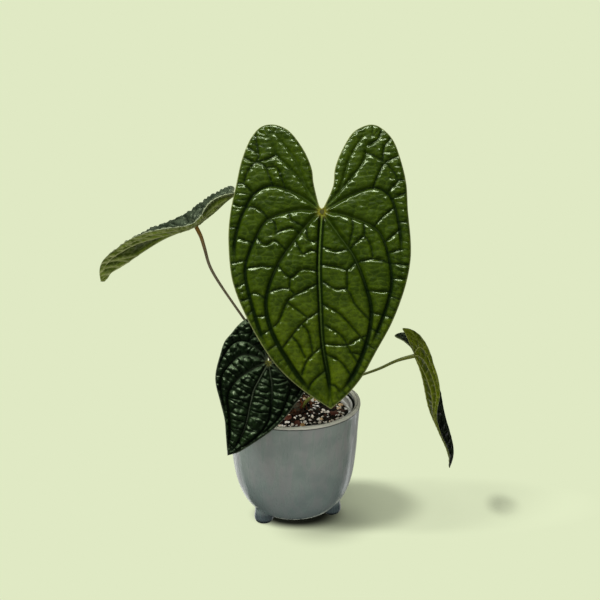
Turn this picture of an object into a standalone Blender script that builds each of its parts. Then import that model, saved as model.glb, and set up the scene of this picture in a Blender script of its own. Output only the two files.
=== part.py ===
"""An anthurium luxurians in its nursery pot, set in a glazed ceramic pot on three feet.

Lengths below are in millimetres and are turned to metres where a mesh is made. +Z is up, the
viewer of the front leaf stands at -Y, and the pots are turned round the Z axis of an empty that
is shifted at the end so that the whole plant stands centred on the origin.
"""
import math
import random

import bmesh
import bpy
import numpy as np
from mathutils import Euler, Matrix, Vector
from mathutils.geometry import delaunay_2d_cdt

MM = 0.001
SEED = 11
GAP = 0.3

# Ceramic pot: outer wall and inner wall as (radius, height), each from the top down.
POT_SIDES = 48
POT_OUTER = ((69.9, 122.8), (69.2, 119.5), (68.6, 110), (67.3, 92), (66.2, 76), (64.8, 62), (62.6, 50),
             (59.8, 40), (56.2, 31), (51.9, 23), (46.6, 16), (41.2, 11), (35.8, 7.5), (30, 5.6))
POT_INNER = ((64.6, 122.6), (64.1, 117), (62.6, 104), (61, 85), (59, 65), (56.4, 50), (53, 37),
             (48.6, 27), (43.4, 18.6), (38.6, 13.2), (36, 12))
POT_RIM_TOP = 125.4
POT_RIM_ROUND = 1.6
POT_FLOOR = 12.0
POT_BASE = 5.4
FOOT_RADIUS = 10.5
FOOT_RING = 43.3
FOOT_HEIGHT = 13.0
FOOT_TURNS = (-46, 74, 194)

# Nursery pot: thin walled, with a collar at the top and drain holes in the floor.
NURSERY_SIDES = 40
NURSERY_WALL = 1.0
NURSERY_TOP = 121.4
NURSERY_COLLAR = 61.0
NURSERY_COLLAR_LOW = 110.0
NURSERY_NECK = 57.4
NURSERY_FLOOR = POT_FLOOR + GAP
NURSERY_BASE = 35.4
DRAIN_RADIUS = 3.5
DRAIN_RING = 22.0
DRAIN_COUNT = 6

# Potting mix: its level, its lumps and the rings of points that carry them.
MIX_TOP = 114.0
MIX_LUMP = 2.2
MIX_RINGS = 9
MIX_SIDES = 36

# Crown: the short stem, as (radius, height) from its top down.
CROWN = ((0, 124.5), (5, 124), (9.2, 121), (11, 115), (10.6, 106), (7.5, 99), (0, 97))
CROWN_SIDES = 20
SOCKET_FLOOR = 113.0

# The heart-shaped blade, flat, in mm from the point where the stalk joins: across, and towards
# the tip. Each side runs from the notch over its lobe to the tip.
HEART_TIP = (8, 192)
HEART_LEFT = ((-3, -7), (-8, -28), (-10, -44), (-17, -62), (-28, -79), (-37, -87), (-49, -91),
              (-61, -88), (-71, -75), (-79, -53), (-84, -28), (-89, -2), (-91, 24), (-89, 56),
              (-84, 78), (-73, 104), (-58, 131), (-42, 153), (-19, 174))
HEART_RIGHT = ((3, -7), (11, -26), (13, -44), (19, -61), (28, -78), (36, -86), (49, -91),
               (60, -87), (71, -74), (78, -53), (83, -28), (84, 0), (86, 30), (85, 52),
               (79, 78), (67, 109), (51, 138), (38, 161), (24, 178))

# Sunk veins of the heart: the midrib and the long arcs that leave the notch.
LONG_VEINS = (
    ((0, 1), (-2, 30), (-3, 58), (-2, 88), (0, 128), (6, 165), (8, 190)),
    ((0, 0), (-10, 8), (-31, 35), (-45, 58), (-54, 88), (-49, 117), (-33, 146), (-15, 171), (2, 185)),
    ((0, 0), (-25, -1), (-52, 8), (-64, 26), (-73, 49), (-74, 65), (-69, 88), (-58, 123), (-46, 143)),
    ((0, 0), (-22, -16), (-48, -26), (-65, -19), (-74, -5), (-81, 13), (-85, 35), (-83, 60)),
    ((0, 0), (-19, -29), (-34, -47), (-45, -59), (-49, -77)),
    ((0, 0), (-14, -21), (-25, -51), (-41, -73), (-49, -82)),
    ((0, 0), (17, 25), (31, 46), (42, 75), (47, 100), (42, 130), (29, 160), (11, 184)),
    ((0, 0), (22, 4), (50, 16), (61, 33), (67, 65), (64, 87), (54, 115), (43, 140)),
    ((0, 0), (28, -16), (50, -24), (64, -18), (71, -5), (76, 23), (77, 50)),
    ((0, 0), (22, -26), (40, -50), (46, -71)),
    ((0, 0), (16, -18), (27, -53), (39, -75), (48, -80)),
)
SIDE_VEINS = (
    ((-3, 71), (-26, 83), (-34, 90), (-42, 109), (-48, 114)),
    ((-4, 99), (-20, 111), (-38, 134)),
    ((0, 132), (-14, 145), (-20, 160)),
    ((2, 156), (-9, 165), (-14, 174)),
    ((-1, 91), (16, 101), (31, 117), (42, 130)),
    ((3, 112), (18, 122), (26, 136), (34, 148)),
    ((4, 140), (17, 147), (28, 161)),
    ((7, 169), (12, 170), (17, 176)),
    ((1, 70), (13, 77), (24, 78), (32, 93), (46, 108)),
    ((-48, -26), (-52, -37), (-56, -46), (-65, -50), (-73, -40), (-76, -29)),
    ((50, -24), (55, -36), (62, -49), (70, -41), (75, -31)),
)
CROSS_VEINS = (
    ((-73, 57), (-60, 55), (-46, 56)), ((-64, 26), (-55, 34), (-46, 30), (-35, 39)),
    ((-44, 22), (-30, 17), (-21, 23)), ((-52, 8), (-46, 12), (-44, 21)), ((-32, 0), (-30, 9), (-19, 15)),
    ((-71, 84), (-64, 81), (-54, 87)), ((-64, 104), (-53, 103)), ((-59, 122), (-48, 115)),
    ((-52, 136), (-43, 130)), ((-74, -4), (-63, -3), (-52, 8)), ((-81, 27), (-67, 32)),
    ((-88, 52), (-73, 49)), ((-84, 76), (-74, 71)), ((-80, 89), (-69, 86)), ((-73, 103), (-66, 97)),
    ((-90, 16), (-81, 17)), ((-74, -67), (-62, -58), (-65, -50)), ((-78, -56), (-65, -50)),
    ((-84, -28), (-77, -28), (-68, -19)), ((-88, -9), (-81, -5), (-74, -6)), ((-66, -81), (-62, -58)),
    ((-45, -58), (-52, -54), (-65, -50)), ((-35, -21), (-44, -44), (-55, -44)),
    ((-26, 30), (-19, 43), (-11, 39), (-2, 42)), ((-43, 54), (-31, 66), (-19, 58), (-3, 60)),
    ((-31, 66), (-31, 77), (-26, 83)), ((-16, 14), (-13, 29), (-1, 30)), ((-53, 81), (-41, 77), (-31, 77)),
    ((-20, 111), (-13, 120), (-9, 140)), ((-29, 123), (-23, 130), (-16, 144)), ((-34, 90), (-14, 105)),
    ((34, 51), (50, 48), (65, 52)), ((27, 38), (40, 26), (47, 35), (49, 48)), ((29, 7), (30, 18), (25, 37)),
    ((41, 12), (41, 26)), ((43, 79), (66, 80)), ((47, 100), (60, 103)), ((46, 115), (55, 120)),
    ((42, 130), (50, 135)), ((50, 16), (61, 4), (71, -4)), ((61, 31), (76, 18)), ((64, 42), (77, 38)),
    ((65, 52), (85, 54)), ((67, 67), (82, 67)), ((65, 84), (76, 88)), ((60, 103), (68, 106)),
    ((68, -12), (83, -20)), ((64, -18), (75, -31), (82, -32)), ((62, -50), (77, -58)), ((75, 11), (85, 11)),
    ((44, -60), (53, -56), (62, -50)), ((60, -53), (62, -67), (69, -76)), ((46, -68), (56, -75), (60, -86)),
    ((-2, 53), (17, 56), (24, 59), (33, 50)), ((-1, 35), (13, 40), (26, 38)), ((24, 59), (24, 78)),
    ((2, 130), (23, 131), (34, 125), (43, 122)), ((26, 138), (36, 140)),
)


class Leaf:
    """One blade: how the heart is scaled, bent and folded, and where it stands."""

    def __init__(self, name, **parts):
        self.name = name
        self.width, self.tip, self.lobe = parts["scale"]
        self.bend = parts["bend"]
        self.fold_left = parts["fold_left"]
        self.fold_right = parts["fold_right"]
        self.curl = parts["curl"]
        self.twist = parts.get("twist", ((0, 0),))
        self.thickness = parts["thickness"]
        self.step = parts["step"]
        self.rung = parts["rung"]
        self.puff, self.puff_width = parts["puff"]
        self.groove, self.groove_width = parts["groove"]
        self.place = np.array(parts["place"], float)
        self.turn = heading(parts["tip_at"], parts["place"], parts["roll"])
        self.material = parts["material"]
        self.lay_spine()

    def lay_spine(self):
        """Run the midrib along its bend, from the lobes to the tip."""
        run = np.arange(-120, 241, 1.0)
        pitch = np.radians(track(self.bend, run))
        ahead = np.stack([-np.cos(pitch), np.sin(pitch)], 1)
        spine = np.vstack([[0, 0], np.cumsum((ahead[1:] + ahead[:-1]) / 2, axis=0)])
        self.run = run
        self.spine = spine - spine[120]

    def flat(self, points):
        """Heart points scaled to this blade."""
        p = np.array(points, float)
        along = np.where(p[:, 1] > 0, self.tip, self.lobe)
        return np.stack([p[:, 0] * self.width, p[:, 1] * along], 1)

    def world(self, flat, lift):
        """Where flat points of the blade stand, lifted off its sheet by lift."""
        u, v = flat[:, 0], flat[:, 1]
        y = np.interp(v, self.run, self.spine[:, 0])
        z = np.interp(v, self.run, self.spine[:, 1])
        pitch = np.radians(track(self.bend, v))
        twist = np.radians(track(self.twist, v))
        side = np.sign(u)
        fold = np.radians(np.where(u < 0, track(self.fold_left, v), track(self.fold_right, v)))
        curl = np.radians(track(self.curl, v)) / 10
        curl = np.where(np.abs(curl) < 1e-6, 1e-6, curl)
        end = fold + curl * np.abs(u)
        out = side * (np.sin(end) - np.sin(fold)) / curl - side * np.sin(end) * lift
        rise = (np.cos(fold) - np.cos(end)) / curl + np.cos(end) * lift
        across = np.stack([np.cos(twist), np.sin(twist) * np.sin(pitch),
                           np.sin(twist) * np.cos(pitch)], 1)
        normal = np.stack([-np.sin(twist), np.cos(twist) * np.sin(pitch),
                           np.cos(twist) * np.cos(pitch)], 1)
        spot = np.stack([0 * y, y, z], 1) + across * out[:, None] + normal * rise[:, None]
        return spot @ self.turn.T + self.place


def track(table, v):
    """Value of a table at v, averaged over 24 mm so that bends run smoothly."""
    at = [row[0] for row in table]
    value = [row[1] for row in table]
    return np.mean([np.interp(np.asarray(v, float) + d, at, value) for d in np.linspace(-12, 12, 9)], axis=0)


def heading(tip, place, roll):
    """Turn that sends -Y from place to tip, upper face up, then rolled about that line."""
    y = np.array(place, float) - np.array(tip, float)
    y /= np.linalg.norm(y)
    up = np.array([0, 0, 1.0]) - y * y[2]
    up /= np.linalg.norm(up)
    turned = math.radians(roll)
    z = up * math.cos(turned) + np.cross(y, up) * math.sin(turned)
    return np.stack([np.cross(y, z), y, z], 1)


LEAVES = (
    Leaf("blade_front", scale=(1, 1, 1), bend=((-90, 5), (0, 0), (192, -10)),
         fold_left=((0, 4),), fold_right=((0, 4),), curl=((0, -1.0),), thickness=0.8, step=7.6,
         rung=None, puff=(2.4, 3.2), groove=(1.6, 4.0),
         place=(27.7, -20, 336.8), tip_at=(27.7, -71.5, 251.1), roll=0, material="blade_olive"),
    Leaf("blade_low", scale=(0.53, 0.52, 0.40), bend=((-50, 12), (0, 0), (100, -12)),
         fold_left=((0, 6),), fold_right=((0, 6),), curl=((0, -1.5),), thickness=0.7, step=5.0,
         rung=6.5, puff=(1.7, 1.8), groove=(0.9, 2.2),
         place=(-24.5, -60, 194.3), tip_at=(-65.2, -98.6, 111.5), roll=41.1, material="blade_dark"),
    Leaf("blade_left", scale=(0.60, 0.57, 0.62),
         bend=((-60, -8), (-30, -20), (0, -4), (20, -1), (60, -9), (110, -30)),
         fold_left=((-60, 2), (-40, 4), (-20, 4), (0, 0), (20, -2), (40, -1), (60, 3), (110, 10)),
         fold_right=((-60, 27), (-40, 33), (-20, 22), (0, 12), (20, 19), (50, 31), (80, 46), (105, 64)),
         curl=((0, 0),), thickness=0.7, step=6.2, rung=9.0, puff=(1.3, 2.2), groove=(0.8, 2.4),
         place=(-99.5, 25, 313.2), tip_at=(-187.5, 5, 283.2), roll=0, material="blade_grey"),
    Leaf("blade_right", scale=(0.44, 0.68, 0.37),
         bend=((-60, 85), (-38, 66), (-15, 28), (0, 14), (12, 6), (25, -6), (50, -5), (62, 6), (95, 10),
               (110, -2), (125, -26)),
         fold_left=((-60, 36), (-30, 30), (0, 14), (40, 6), (60, 4), (90, 0), (125, 0)),
         fold_right=((-60, 24), (-30, 32), (0, 28), (30, 18), (45, 21), (60, 18), (90, 14), (125, 10)),
         curl=((0, 0),), twist=((0, 0), (50, 0), (80, 16), (125, 22)), thickness=0.7, step=6.0,
         rung=9.0, puff=(1.2, 2.2), groove=(0.8, 2.4),
         place=(124.2, -5, 180.3), tip_at=(162.2, -25, 61.7), roll=38, material="blade_green"),
)

# Stalks: the points each one runs through, from its socket in the crown to its blade, and its
# radius as (share of its length, mm).
STALKS = (
    ("petiole_front", "blade_front", ((1, 5.5, 113.4), (4, 12, 140), (9, 22, 172), (16, 27, 230),
                                      (23, 18, 290), (26.2, 2, 318)), "stalk_brown"),
    ("petiole_low", "blade_low", ((-1, -5.5, 113.4), (-5, -11, 140), (-11, -21, 163), (-17, -33, 180),
                                  (-21, -44, 190)), "stalk_green"),
    ("petiole_left", "blade_left", ((-5.6, 0.5, 113.4), (-7.6, 2.6, 129.9), (-18.9, 8, 159),
                                    (-33.4, 12, 185.5), (-48, 16, 206.9), (-74.9, 21, 246.8),
                                    (-86.5, 23, 267.8), (-91.6, 24, 286.7), (-95, 24.6, 299)), "stalk_brown"),
    ("petiole_right", "blade_right", ((5.6, -0.5, 113.4), (13, -0.4, 127), (32.5, -1, 140.1),
                                      (53.3, -2, 150.7), (72.3, -3, 158.5), (89.1, -4, 165.6),
                                      (102.2, -4, 172.3), (112, -5, 177.4)), "stalk_green"),
)
STALK_RADIUS = ((0, 2.3), (0.06, 1.9), (0.2, 1.45), (0.6, 1.3), (0.85, 1.6), (1, 2.1))
STALK_STEP = 11.0
STALK_GAP = 0.4

MATERIALS = {
    "glaze": ((0.14, 0.17, 0.16), 0.22),
    "pot_plastic": ((0.21, 0.21, 0.19), 0.55),
    "mix": ((0.045, 0.028, 0.018), 0.95),
    "crown": ((0.055, 0.030, 0.014), 0.8),
    "blade_olive": ((0.035, 0.075, 0.008), 0.35),
    "blade_dark": ((0.012, 0.030, 0.012), 0.3),
    "blade_grey": ((0.045, 0.075, 0.015), 0.45),
    "blade_green": ((0.050, 0.085, 0.015), 0.45),
    "stalk_brown": ((0.060, 0.036, 0.012), 0.5),
    "stalk_green": ((0.080, 0.100, 0.018), 0.5),
}


def material(name):
    """The named material, made on first use."""
    made = bpy.data.materials.get(name)
    if made:
        return made
    colour, rough = MATERIALS[name]
    made = bpy.data.materials.new(name)
    made.use_nodes = True
    shader = made.node_tree.nodes["Principled BSDF"]
    shader.inputs["Base Color"].default_value = (*colour, 1)
    shader.inputs["Roughness"].default_value = rough
    shader.inputs["Metallic"].default_value = 0
    return made


def add_object(name, mesh, holder, slot=None):
    """Put a mesh in the scene as a named object of a collection."""
    thing = bpy.data.objects.new(name, mesh)
    holder.objects.link(thing)
    if slot:
        mesh.materials.append(material(slot))
    return thing


def smooth_line(points, step):
    """Curve through the points, with one point about every step, both ends kept."""
    p = np.array(points, float)
    if len(p) > 2:
        ends = np.vstack([2 * p[0] - p[1], p, 2 * p[-1] - p[-2]])
        t = np.linspace(0, 1, 12, endpoint=False)[:, None]
        bits = []
        for a, b, c, d in zip(ends, ends[1:], ends[2:], ends[3:]):
            bits.append(b + 0.5 * t * (c - a + t * (2 * a - 5 * b + 4 * c - d + t * (3 * b - 3 * c + d - a))))
        p = np.vstack(bits + [p[-1:]])
    run = np.concatenate([[0], np.cumsum(np.linalg.norm(np.diff(p, axis=0), axis=1))])
    at = np.linspace(0, run[-1], max(2, int(round(run[-1] / step)) + 1))
    return np.stack([np.interp(at, run, p[:, k]) for k in range(p.shape[1])], 1)


def line_distance(points, lines):
    """Distance from each flat point to the nearest of the lines."""
    nearest = np.full(len(points), 1e9)
    for line in lines:
        a, ab = line[:-1], np.diff(line, axis=0)
        ap = points[:, None] - a[None]
        t = np.clip((ap * ab).sum(2) / np.maximum((ab * ab).sum(1), 1e-9), 0, 1)
        gap = np.linalg.norm(ap - t[..., None] * ab, axis=2)
        nearest = np.minimum(nearest, gap.min(1))
    return nearest


def inside(points, loop):
    """True for each flat point that lies in the closed loop."""
    a, b = loop, np.roll(loop, -1, axis=0)
    x, y = points[:, 0, None], points[:, 1, None]
    spans = (a[:, 1] > y) != (b[:, 1] > y)
    cross = a[:, 0] + (y - a[:, 1]) * (b[:, 0] - a[:, 0]) / np.where(b[:, 1] == a[:, 1], 1, b[:, 1] - a[:, 1])
    return (spans & (x < cross)).sum(1) % 2 == 1


def ray_reach(start, aim, lines):
    """Distance from start along aim to the first of the lines, or None."""
    best = None
    for line in lines:
        a, ab = line[:-1] - start, np.diff(line, axis=0)
        det = aim[0] * ab[:, 1] - aim[1] * ab[:, 0]
        det = np.where(np.abs(det) < 1e-9, 1e-9, det)
        far = (a[:, 0] * ab[:, 1] - a[:, 1] * ab[:, 0]) / det
        share = (a[:, 0] * aim[1] - a[:, 1] * aim[0]) / det
        hit = far[(share >= 0) & (share <= 1) & (far > 0.5)]
        if len(hit) and (best is None or hit.min() < best):
            best = hit.min()
    return best


def rungs(leaf, long_lines, loop, rand):
    """Cross veins of a small blade: from each long vein outward to the next one."""
    found = []
    edge = np.vstack([loop, loop[:1]])
    for place, line in enumerate(long_lines):
        others = [other for k, other in enumerate(long_lines) if k != place] + [edge]
        marks = smooth_line(line, leaf.rung)
        for before, spot, after in zip(marks, marks[1:], marks[2:]):
            ahead = (after - before) / np.linalg.norm(after - before)
            for side in (-1, 1) if place == 0 else (np.sign(spot[0]),):
                out = np.array([ahead[1], -ahead[0]])
                out *= side if out[0] >= 0 else -side
                tilt = math.radians(rand.uniform(-16, 16))
                aim = np.array([out[0] * math.cos(tilt) - out[1] * math.sin(tilt),
                                out[0] * math.sin(tilt) + out[1] * math.cos(tilt)])
                reach = ray_reach(spot, aim, others)
                if reach and 3.5 < reach < 30:
                    found.append(smooth_line((spot, spot + aim * reach), leaf.step))
    return found


def blade(leaf, holder, rand):
    """One blade: a net of sunk veins with puffed cells between, bent and thickened."""
    sides = [smooth_line(leaf.flat(((0, -3), *side, HEART_TIP)), leaf.step)
             for side in (HEART_LEFT, HEART_RIGHT)]
    loop = np.vstack([sides[0], sides[1][-2:0:-1]])
    edge = np.vstack([loop, loop[:1]])
    long_lines = [smooth_line(leaf.flat(line), leaf.step) for line in LONG_VEINS]
    long_lines = [line[(line_distance(line, [edge]) > 0.35 * leaf.step) & inside(line, loop)]
                  for line in long_lines]
    if leaf.rung:
        short_lines = rungs(leaf, long_lines, loop, rand)
    else:
        short_lines = [smooth_line(leaf.flat(line), leaf.step) for line in SIDE_VEINS + CROSS_VEINS]
    veins = long_lines + short_lines
    low, high = loop.min(0), loop.max(0)
    rows = np.arange(low[1], high[1], leaf.step * 0.866)
    lattice = np.array([(x + (0.5 * leaf.step if k % 2 else 0), y) for k, y in enumerate(rows)
                        for x in np.arange(low[0], high[0], leaf.step)])
    lattice = lattice[inside(lattice, loop)]
    lattice = lattice[line_distance(lattice, veins + [edge]) > 0.55 * leaf.step]

    points = [Vector(p) for p in loop]
    edges = [(k, (k + 1) % len(loop)) for k in range(len(loop))]
    for line in veins:
        edges += [(len(points) + k, len(points) + k + 1) for k in range(len(line) - 1)]
        points += [Vector(p) for p in line]
    points += [Vector(p) for p in lattice]
    flat, _, faces, *_ = delaunay_2d_cdt(points, edges, [], 1, 0.5)
    flat = np.array([tuple(p) for p in flat])

    to_edge = np.clip(line_distance(flat, [edge]) / (2.2 * leaf.puff_width), 0, 1)
    lift = leaf.puff * (1 - np.exp(-line_distance(flat, veins) / leaf.puff_width)) * to_edge
    lift -= leaf.groove * np.exp(-(line_distance(flat, long_lines) / leaf.groove_width) ** 2) * to_edge
    leaf.seat = lift[np.argmin(np.linalg.norm(flat, axis=1))]
    spots = leaf.world(flat, lift) * MM

    mesh = bpy.data.meshes.new(leaf.name)
    bm = bmesh.new()
    corners = [bm.verts.new(spot) for spot in spots]
    for face in faces:
        bm.faces.new([corners[k] for k in face])
    loose = [v for v in bm.verts if not v.link_faces]
    bmesh.ops.delete(bm, geom=loose, context="VERTS")
    bmesh.ops.triangulate(bm, faces=bm.faces[:])
    bm.to_mesh(mesh)
    bm.free()
    thing = add_object(leaf.name, mesh, holder, leaf.material)
    thick = thing.modifiers.new("Thickness", "SOLIDIFY")
    thick.thickness = leaf.thickness * MM
    thick.offset = -1
    cut = thing.modifiers.new("Triangles", "TRIANGULATE")
    cut.quad_method = "BEAUTY"
    return thing


def tube(name, route, swell, grow, holder):
    """A solid tapered stalk along the route; grow widens and lengthens it for a socket."""
    run = np.linalg.norm(np.diff(route, axis=0), axis=1)
    share = np.concatenate([[0], np.cumsum(run)]) / run.sum()
    radius = np.interp(share, [row[0] for row in swell], [row[1] for row in swell]) + grow
    spots = route.copy()
    if grow:
        back = spots[0] - spots[1]
        spots[0] += back / np.linalg.norm(back) * grow
    curve = bpy.data.curves.new(name, "CURVE")
    curve.dimensions = "3D"
    curve.bevel_depth = MM
    curve.bevel_resolution = 2
    curve.use_fill_caps = True
    spline = curve.splines.new("POLY")
    spline.points.add(len(spots) - 1)
    for point, spot, size in zip(spline.points, spots, radius):
        point.co = (*(spot * MM), 1)
        point.radius = size
    line = bpy.data.objects.new(name + "_line", curve)
    holder.objects.link(line)
    bpy.context.view_layer.update()
    mesh = bpy.data.meshes.new_from_object(line.evaluated_get(bpy.context.evaluated_depsgraph_get()))
    mesh.name = name
    bpy.data.objects.remove(line)
    bpy.data.curves.remove(curve)
    bm = bmesh.new()
    bm.from_mesh(mesh)
    bmesh.ops.remove_doubles(bm, verts=bm.verts[:], dist=1e-6)
    bmesh.ops.recalc_face_normals(bm, faces=bm.faces[:])
    bm.to_mesh(mesh)
    bm.free()
    mesh.materials.clear()
    return mesh


def stalk_route(leaf, route):
    """The route of a stalk, finished square to the back of its blade."""
    under = leaf.seat - leaf.thickness - STALK_GAP
    ends = leaf.world(np.array([(0.0, 0.0), (0.0, 0.0)]), np.array([under - 6, under]))
    line = smooth_line((*route, tuple(ends[0])), STALK_STEP)
    return np.vstack([line, ends[1]])


def lathe(name, profile, sides, holder, slot=None):
    """Turn a profile of (radius, height) round the Z axis."""
    mesh = bpy.data.meshes.new(name)
    bm = bmesh.new()
    spots = [bm.verts.new((r * MM, 0, z * MM)) for r, z in profile]
    for a, b in zip(spots, spots[1:]):
        bm.edges.new((a, b))
    bm.to_mesh(mesh)
    bm.free()
    thing = add_object(name, mesh, holder, slot)
    turn = thing.modifiers.new("Turn", "SCREW")
    turn.steps = sides
    turn.render_steps = sides
    turn.use_merge_vertices = True
    turn.merge_threshold = 0.00005
    return thing


def cut(thing, tool, operation="DIFFERENCE"):
    """Cut one object with another, or join them, by a live Boolean."""
    tool.hide_render = True
    tool.display_type = "WIRE"
    step = thing.modifiers.new(tool.name, "BOOLEAN")
    step.operation = operation
    step.object = tool


def ceramic_pot(holder, cutters):
    """Round-bellied pot with a rolled rim, standing on three ball feet."""
    inner_top, outer_top = POT_INNER[0], POT_OUTER[0]
    mid = (inner_top[0] + outer_top[0]) / 2
    rim = ((inner_top[0] + 0.6, POT_RIM_TOP - 1), (mid - POT_RIM_ROUND / 2, POT_RIM_TOP),
           (mid + POT_RIM_ROUND / 2, POT_RIM_TOP), (outer_top[0] - 0.6, POT_RIM_TOP - 1))
    profile = ((0, POT_FLOOR), *reversed(POT_INNER), *rim, *POT_OUTER, (0, POT_BASE))
    pot = lathe("ceramic_pot", profile, POT_SIDES, holder, "glaze")
    for number, turned in enumerate(FOOT_TURNS):
        angle = math.radians(turned)
        mesh = bpy.data.meshes.new("foot")
        bm = bmesh.new()
        bmesh.ops.create_uvsphere(bm, u_segments=16, v_segments=10, radius=FOOT_RADIUS * MM)
        bmesh.ops.translate(bm, verts=bm.verts[:], vec=(0, 0, (FOOT_HEIGHT - FOOT_RADIUS) * MM))
        for v in bm.verts:
            v.co.z = max(v.co.z, 0)
        bmesh.ops.remove_doubles(bm, verts=bm.verts[:], dist=1e-6)
        bmesh.ops.dissolve_limit(bm, angle_limit=0.001, verts=bm.verts[:], edges=bm.edges[:])
        bm.to_mesh(mesh)
        bm.free()
        foot = add_object("foot_%d" % number, mesh, cutters)
        foot.location = (FOOT_RING * math.sin(angle) * MM, -FOOT_RING * math.cos(angle) * MM, 0)
        cut(pot, foot, "UNION")
    return pot


def nursery_pot(holder, cutters):
    """Thin grower's pot with a stepped collar and holes in its floor."""
    w = NURSERY_WALL
    profile = ((0, NURSERY_FLOOR + w), (NURSERY_BASE - w, NURSERY_FLOOR + w),
               (NURSERY_NECK - w, NURSERY_COLLAR_LOW - 3.2), (NURSERY_COLLAR - w, NURSERY_COLLAR_LOW),
               (NURSERY_COLLAR - w, NURSERY_TOP - 0.3), (NURSERY_COLLAR - w + 0.3, NURSERY_TOP),
               (NURSERY_COLLAR - 0.3, NURSERY_TOP), (NURSERY_COLLAR, NURSERY_TOP - 0.3),
               (NURSERY_COLLAR, NURSERY_COLLAR_LOW - 0.5), (NURSERY_NECK, NURSERY_COLLAR_LOW - 3.5),
               (NURSERY_BASE, NURSERY_FLOOR), (0, NURSERY_FLOOR))
    pot = lathe("nursery_pot", profile, NURSERY_SIDES, holder, "pot_plastic")
    for number in range(DRAIN_COUNT):
        angle = 2 * math.pi * number / DRAIN_COUNT
        mesh = bpy.data.meshes.new("drain")
        bm = bmesh.new()
        bmesh.ops.create_cone(bm, cap_ends=True, segments=12, radius1=DRAIN_RADIUS * MM,
                              radius2=DRAIN_RADIUS * MM, depth=6 * MM)
        bm.to_mesh(mesh)
        bm.free()
        drain = add_object("drain_%d" % number, mesh, cutters)
        drain.location = (DRAIN_RING * math.cos(angle) * MM, DRAIN_RING * math.sin(angle) * MM,
                          (NURSERY_FLOOR + w / 2) * MM)
        cut(pot, drain)
    return pot


def potting_mix(holder, cutters, rand):
    """Lumpy mix that fills the nursery pot, with a hole for the crown."""
    clear = NURSERY_WALL + GAP + 0.1
    wide = NURSERY_COLLAR - clear
    top = [(wide * k / MIX_RINGS, MIX_TOP) for k in range(MIX_RINGS + 1)]
    profile = (*top, (wide, NURSERY_COLLAR_LOW + 0.3), (NURSERY_NECK - clear, NURSERY_COLLAR_LOW - 2.9),
               (NURSERY_BASE - clear, NURSERY_FLOOR + clear), (0, NURSERY_FLOOR + clear))
    turned = lathe("mix_turned", profile, MIX_SIDES, cutters)
    bpy.context.view_layer.update()
    mesh = bpy.data.meshes.new_from_object(turned.evaluated_get(bpy.context.evaluated_depsgraph_get()))
    bpy.data.objects.remove(turned)
    mesh.name = "potting_mix"
    for v in mesh.vertices:
        if v.co.z > (MIX_TOP - 1) * MM:
            v.co.z += rand.uniform(-MIX_LUMP, MIX_LUMP) * MM
    mix = add_object("potting_mix", mesh, holder, "mix")
    hole = [(0, 140), (CROWN[3][0] + GAP, 140), (CROWN[3][0] + GAP, CROWN[3][1])]
    hole += [(r + GAP, z - GAP) for r, z in CROWN[4:-1]] + [(0, CROWN[-1][1] - GAP)]
    cut(mix, lathe("crown_hole", hole, CROWN_SIDES, cutters))
    return mix


def build():
    """Make every part, hang them on one empty and centre the plant over the origin."""
    rand = random.Random(SEED)
    holder = bpy.data.collections.new("anthurium_plant")
    cutters = bpy.data.collections.new("cutters")
    for collection in (holder, cutters):
        bpy.context.scene.collection.children.link(collection)
    things = [ceramic_pot(holder, cutters), nursery_pot(holder, cutters), potting_mix(holder, cutters, rand)]
    crown = lathe("crown", CROWN, CROWN_SIDES, holder, "crown")
    things.append(crown)
    leaves = {leaf.name: leaf for leaf in LEAVES}
    things += [blade(leaf, holder, rand) for leaf in LEAVES]
    for name, leaf_name, route, slot in STALKS:
        line = stalk_route(leaves[leaf_name], route)
        things.append(add_object(name, tube(name, line, STALK_RADIUS, 0, cutters), holder, slot))
        cut(crown, add_object(name + "_socket", tube(name, line, STALK_RADIUS, GAP, cutters), cutters))
    bpy.context.view_layer.update()

    graph = bpy.context.evaluated_depsgraph_get()
    corners = []
    for thing in things:
        corners += [tuple(v.co) for v in thing.evaluated_get(graph).data.vertices]
    corners = np.array(corners)
    middle = (corners.min(0) + corners.max(0)) / 2
    stand = bpy.data.objects.new("anthurium_plant", None)
    holder.objects.link(stand)
    stand.location = (-middle[0], -middle[1], 0)
    for thing in things + list(cutters.objects):
        thing.parent = stand
    size = corners.max(0) - corners.min(0)
    print("size mm", np.round(size * 1000, 1), "shift", np.round(middle * 1000, 2))


for old in list(bpy.data.objects):
    bpy.data.objects.remove(old)
build()
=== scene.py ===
"""An anthurium luxurians in its pots, dressed for a studio picture.

Lengths in the tables are in millimetres from the pot's own axis at the height of the floor, with
+Z up and -Y towards the viewer of the front leaf. They are turned to metres where a mesh is made.
"""
import math
import random

import bpy
import numpy as np
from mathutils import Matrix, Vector, noise
from mathutils.geometry import delaunay_2d_cdt


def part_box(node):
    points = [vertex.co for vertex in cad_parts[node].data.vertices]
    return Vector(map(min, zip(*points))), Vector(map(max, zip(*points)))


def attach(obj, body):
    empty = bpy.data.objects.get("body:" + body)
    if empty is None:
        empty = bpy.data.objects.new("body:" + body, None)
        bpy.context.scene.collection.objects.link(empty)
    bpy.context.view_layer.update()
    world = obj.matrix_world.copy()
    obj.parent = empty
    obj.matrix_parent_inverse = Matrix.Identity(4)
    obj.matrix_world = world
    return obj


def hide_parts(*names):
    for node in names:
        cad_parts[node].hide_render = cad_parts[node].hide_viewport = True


bl_info = {
    "name": "Potted anthurium",
    "version": (1, 0, 0),
    "blender": (4, 5, 0),
    "location": "3D View > Sidebar > Plant",
    "description": "Builds a potted anthurium and its studio round the packed solids",
    "category": "Object",
}

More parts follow.
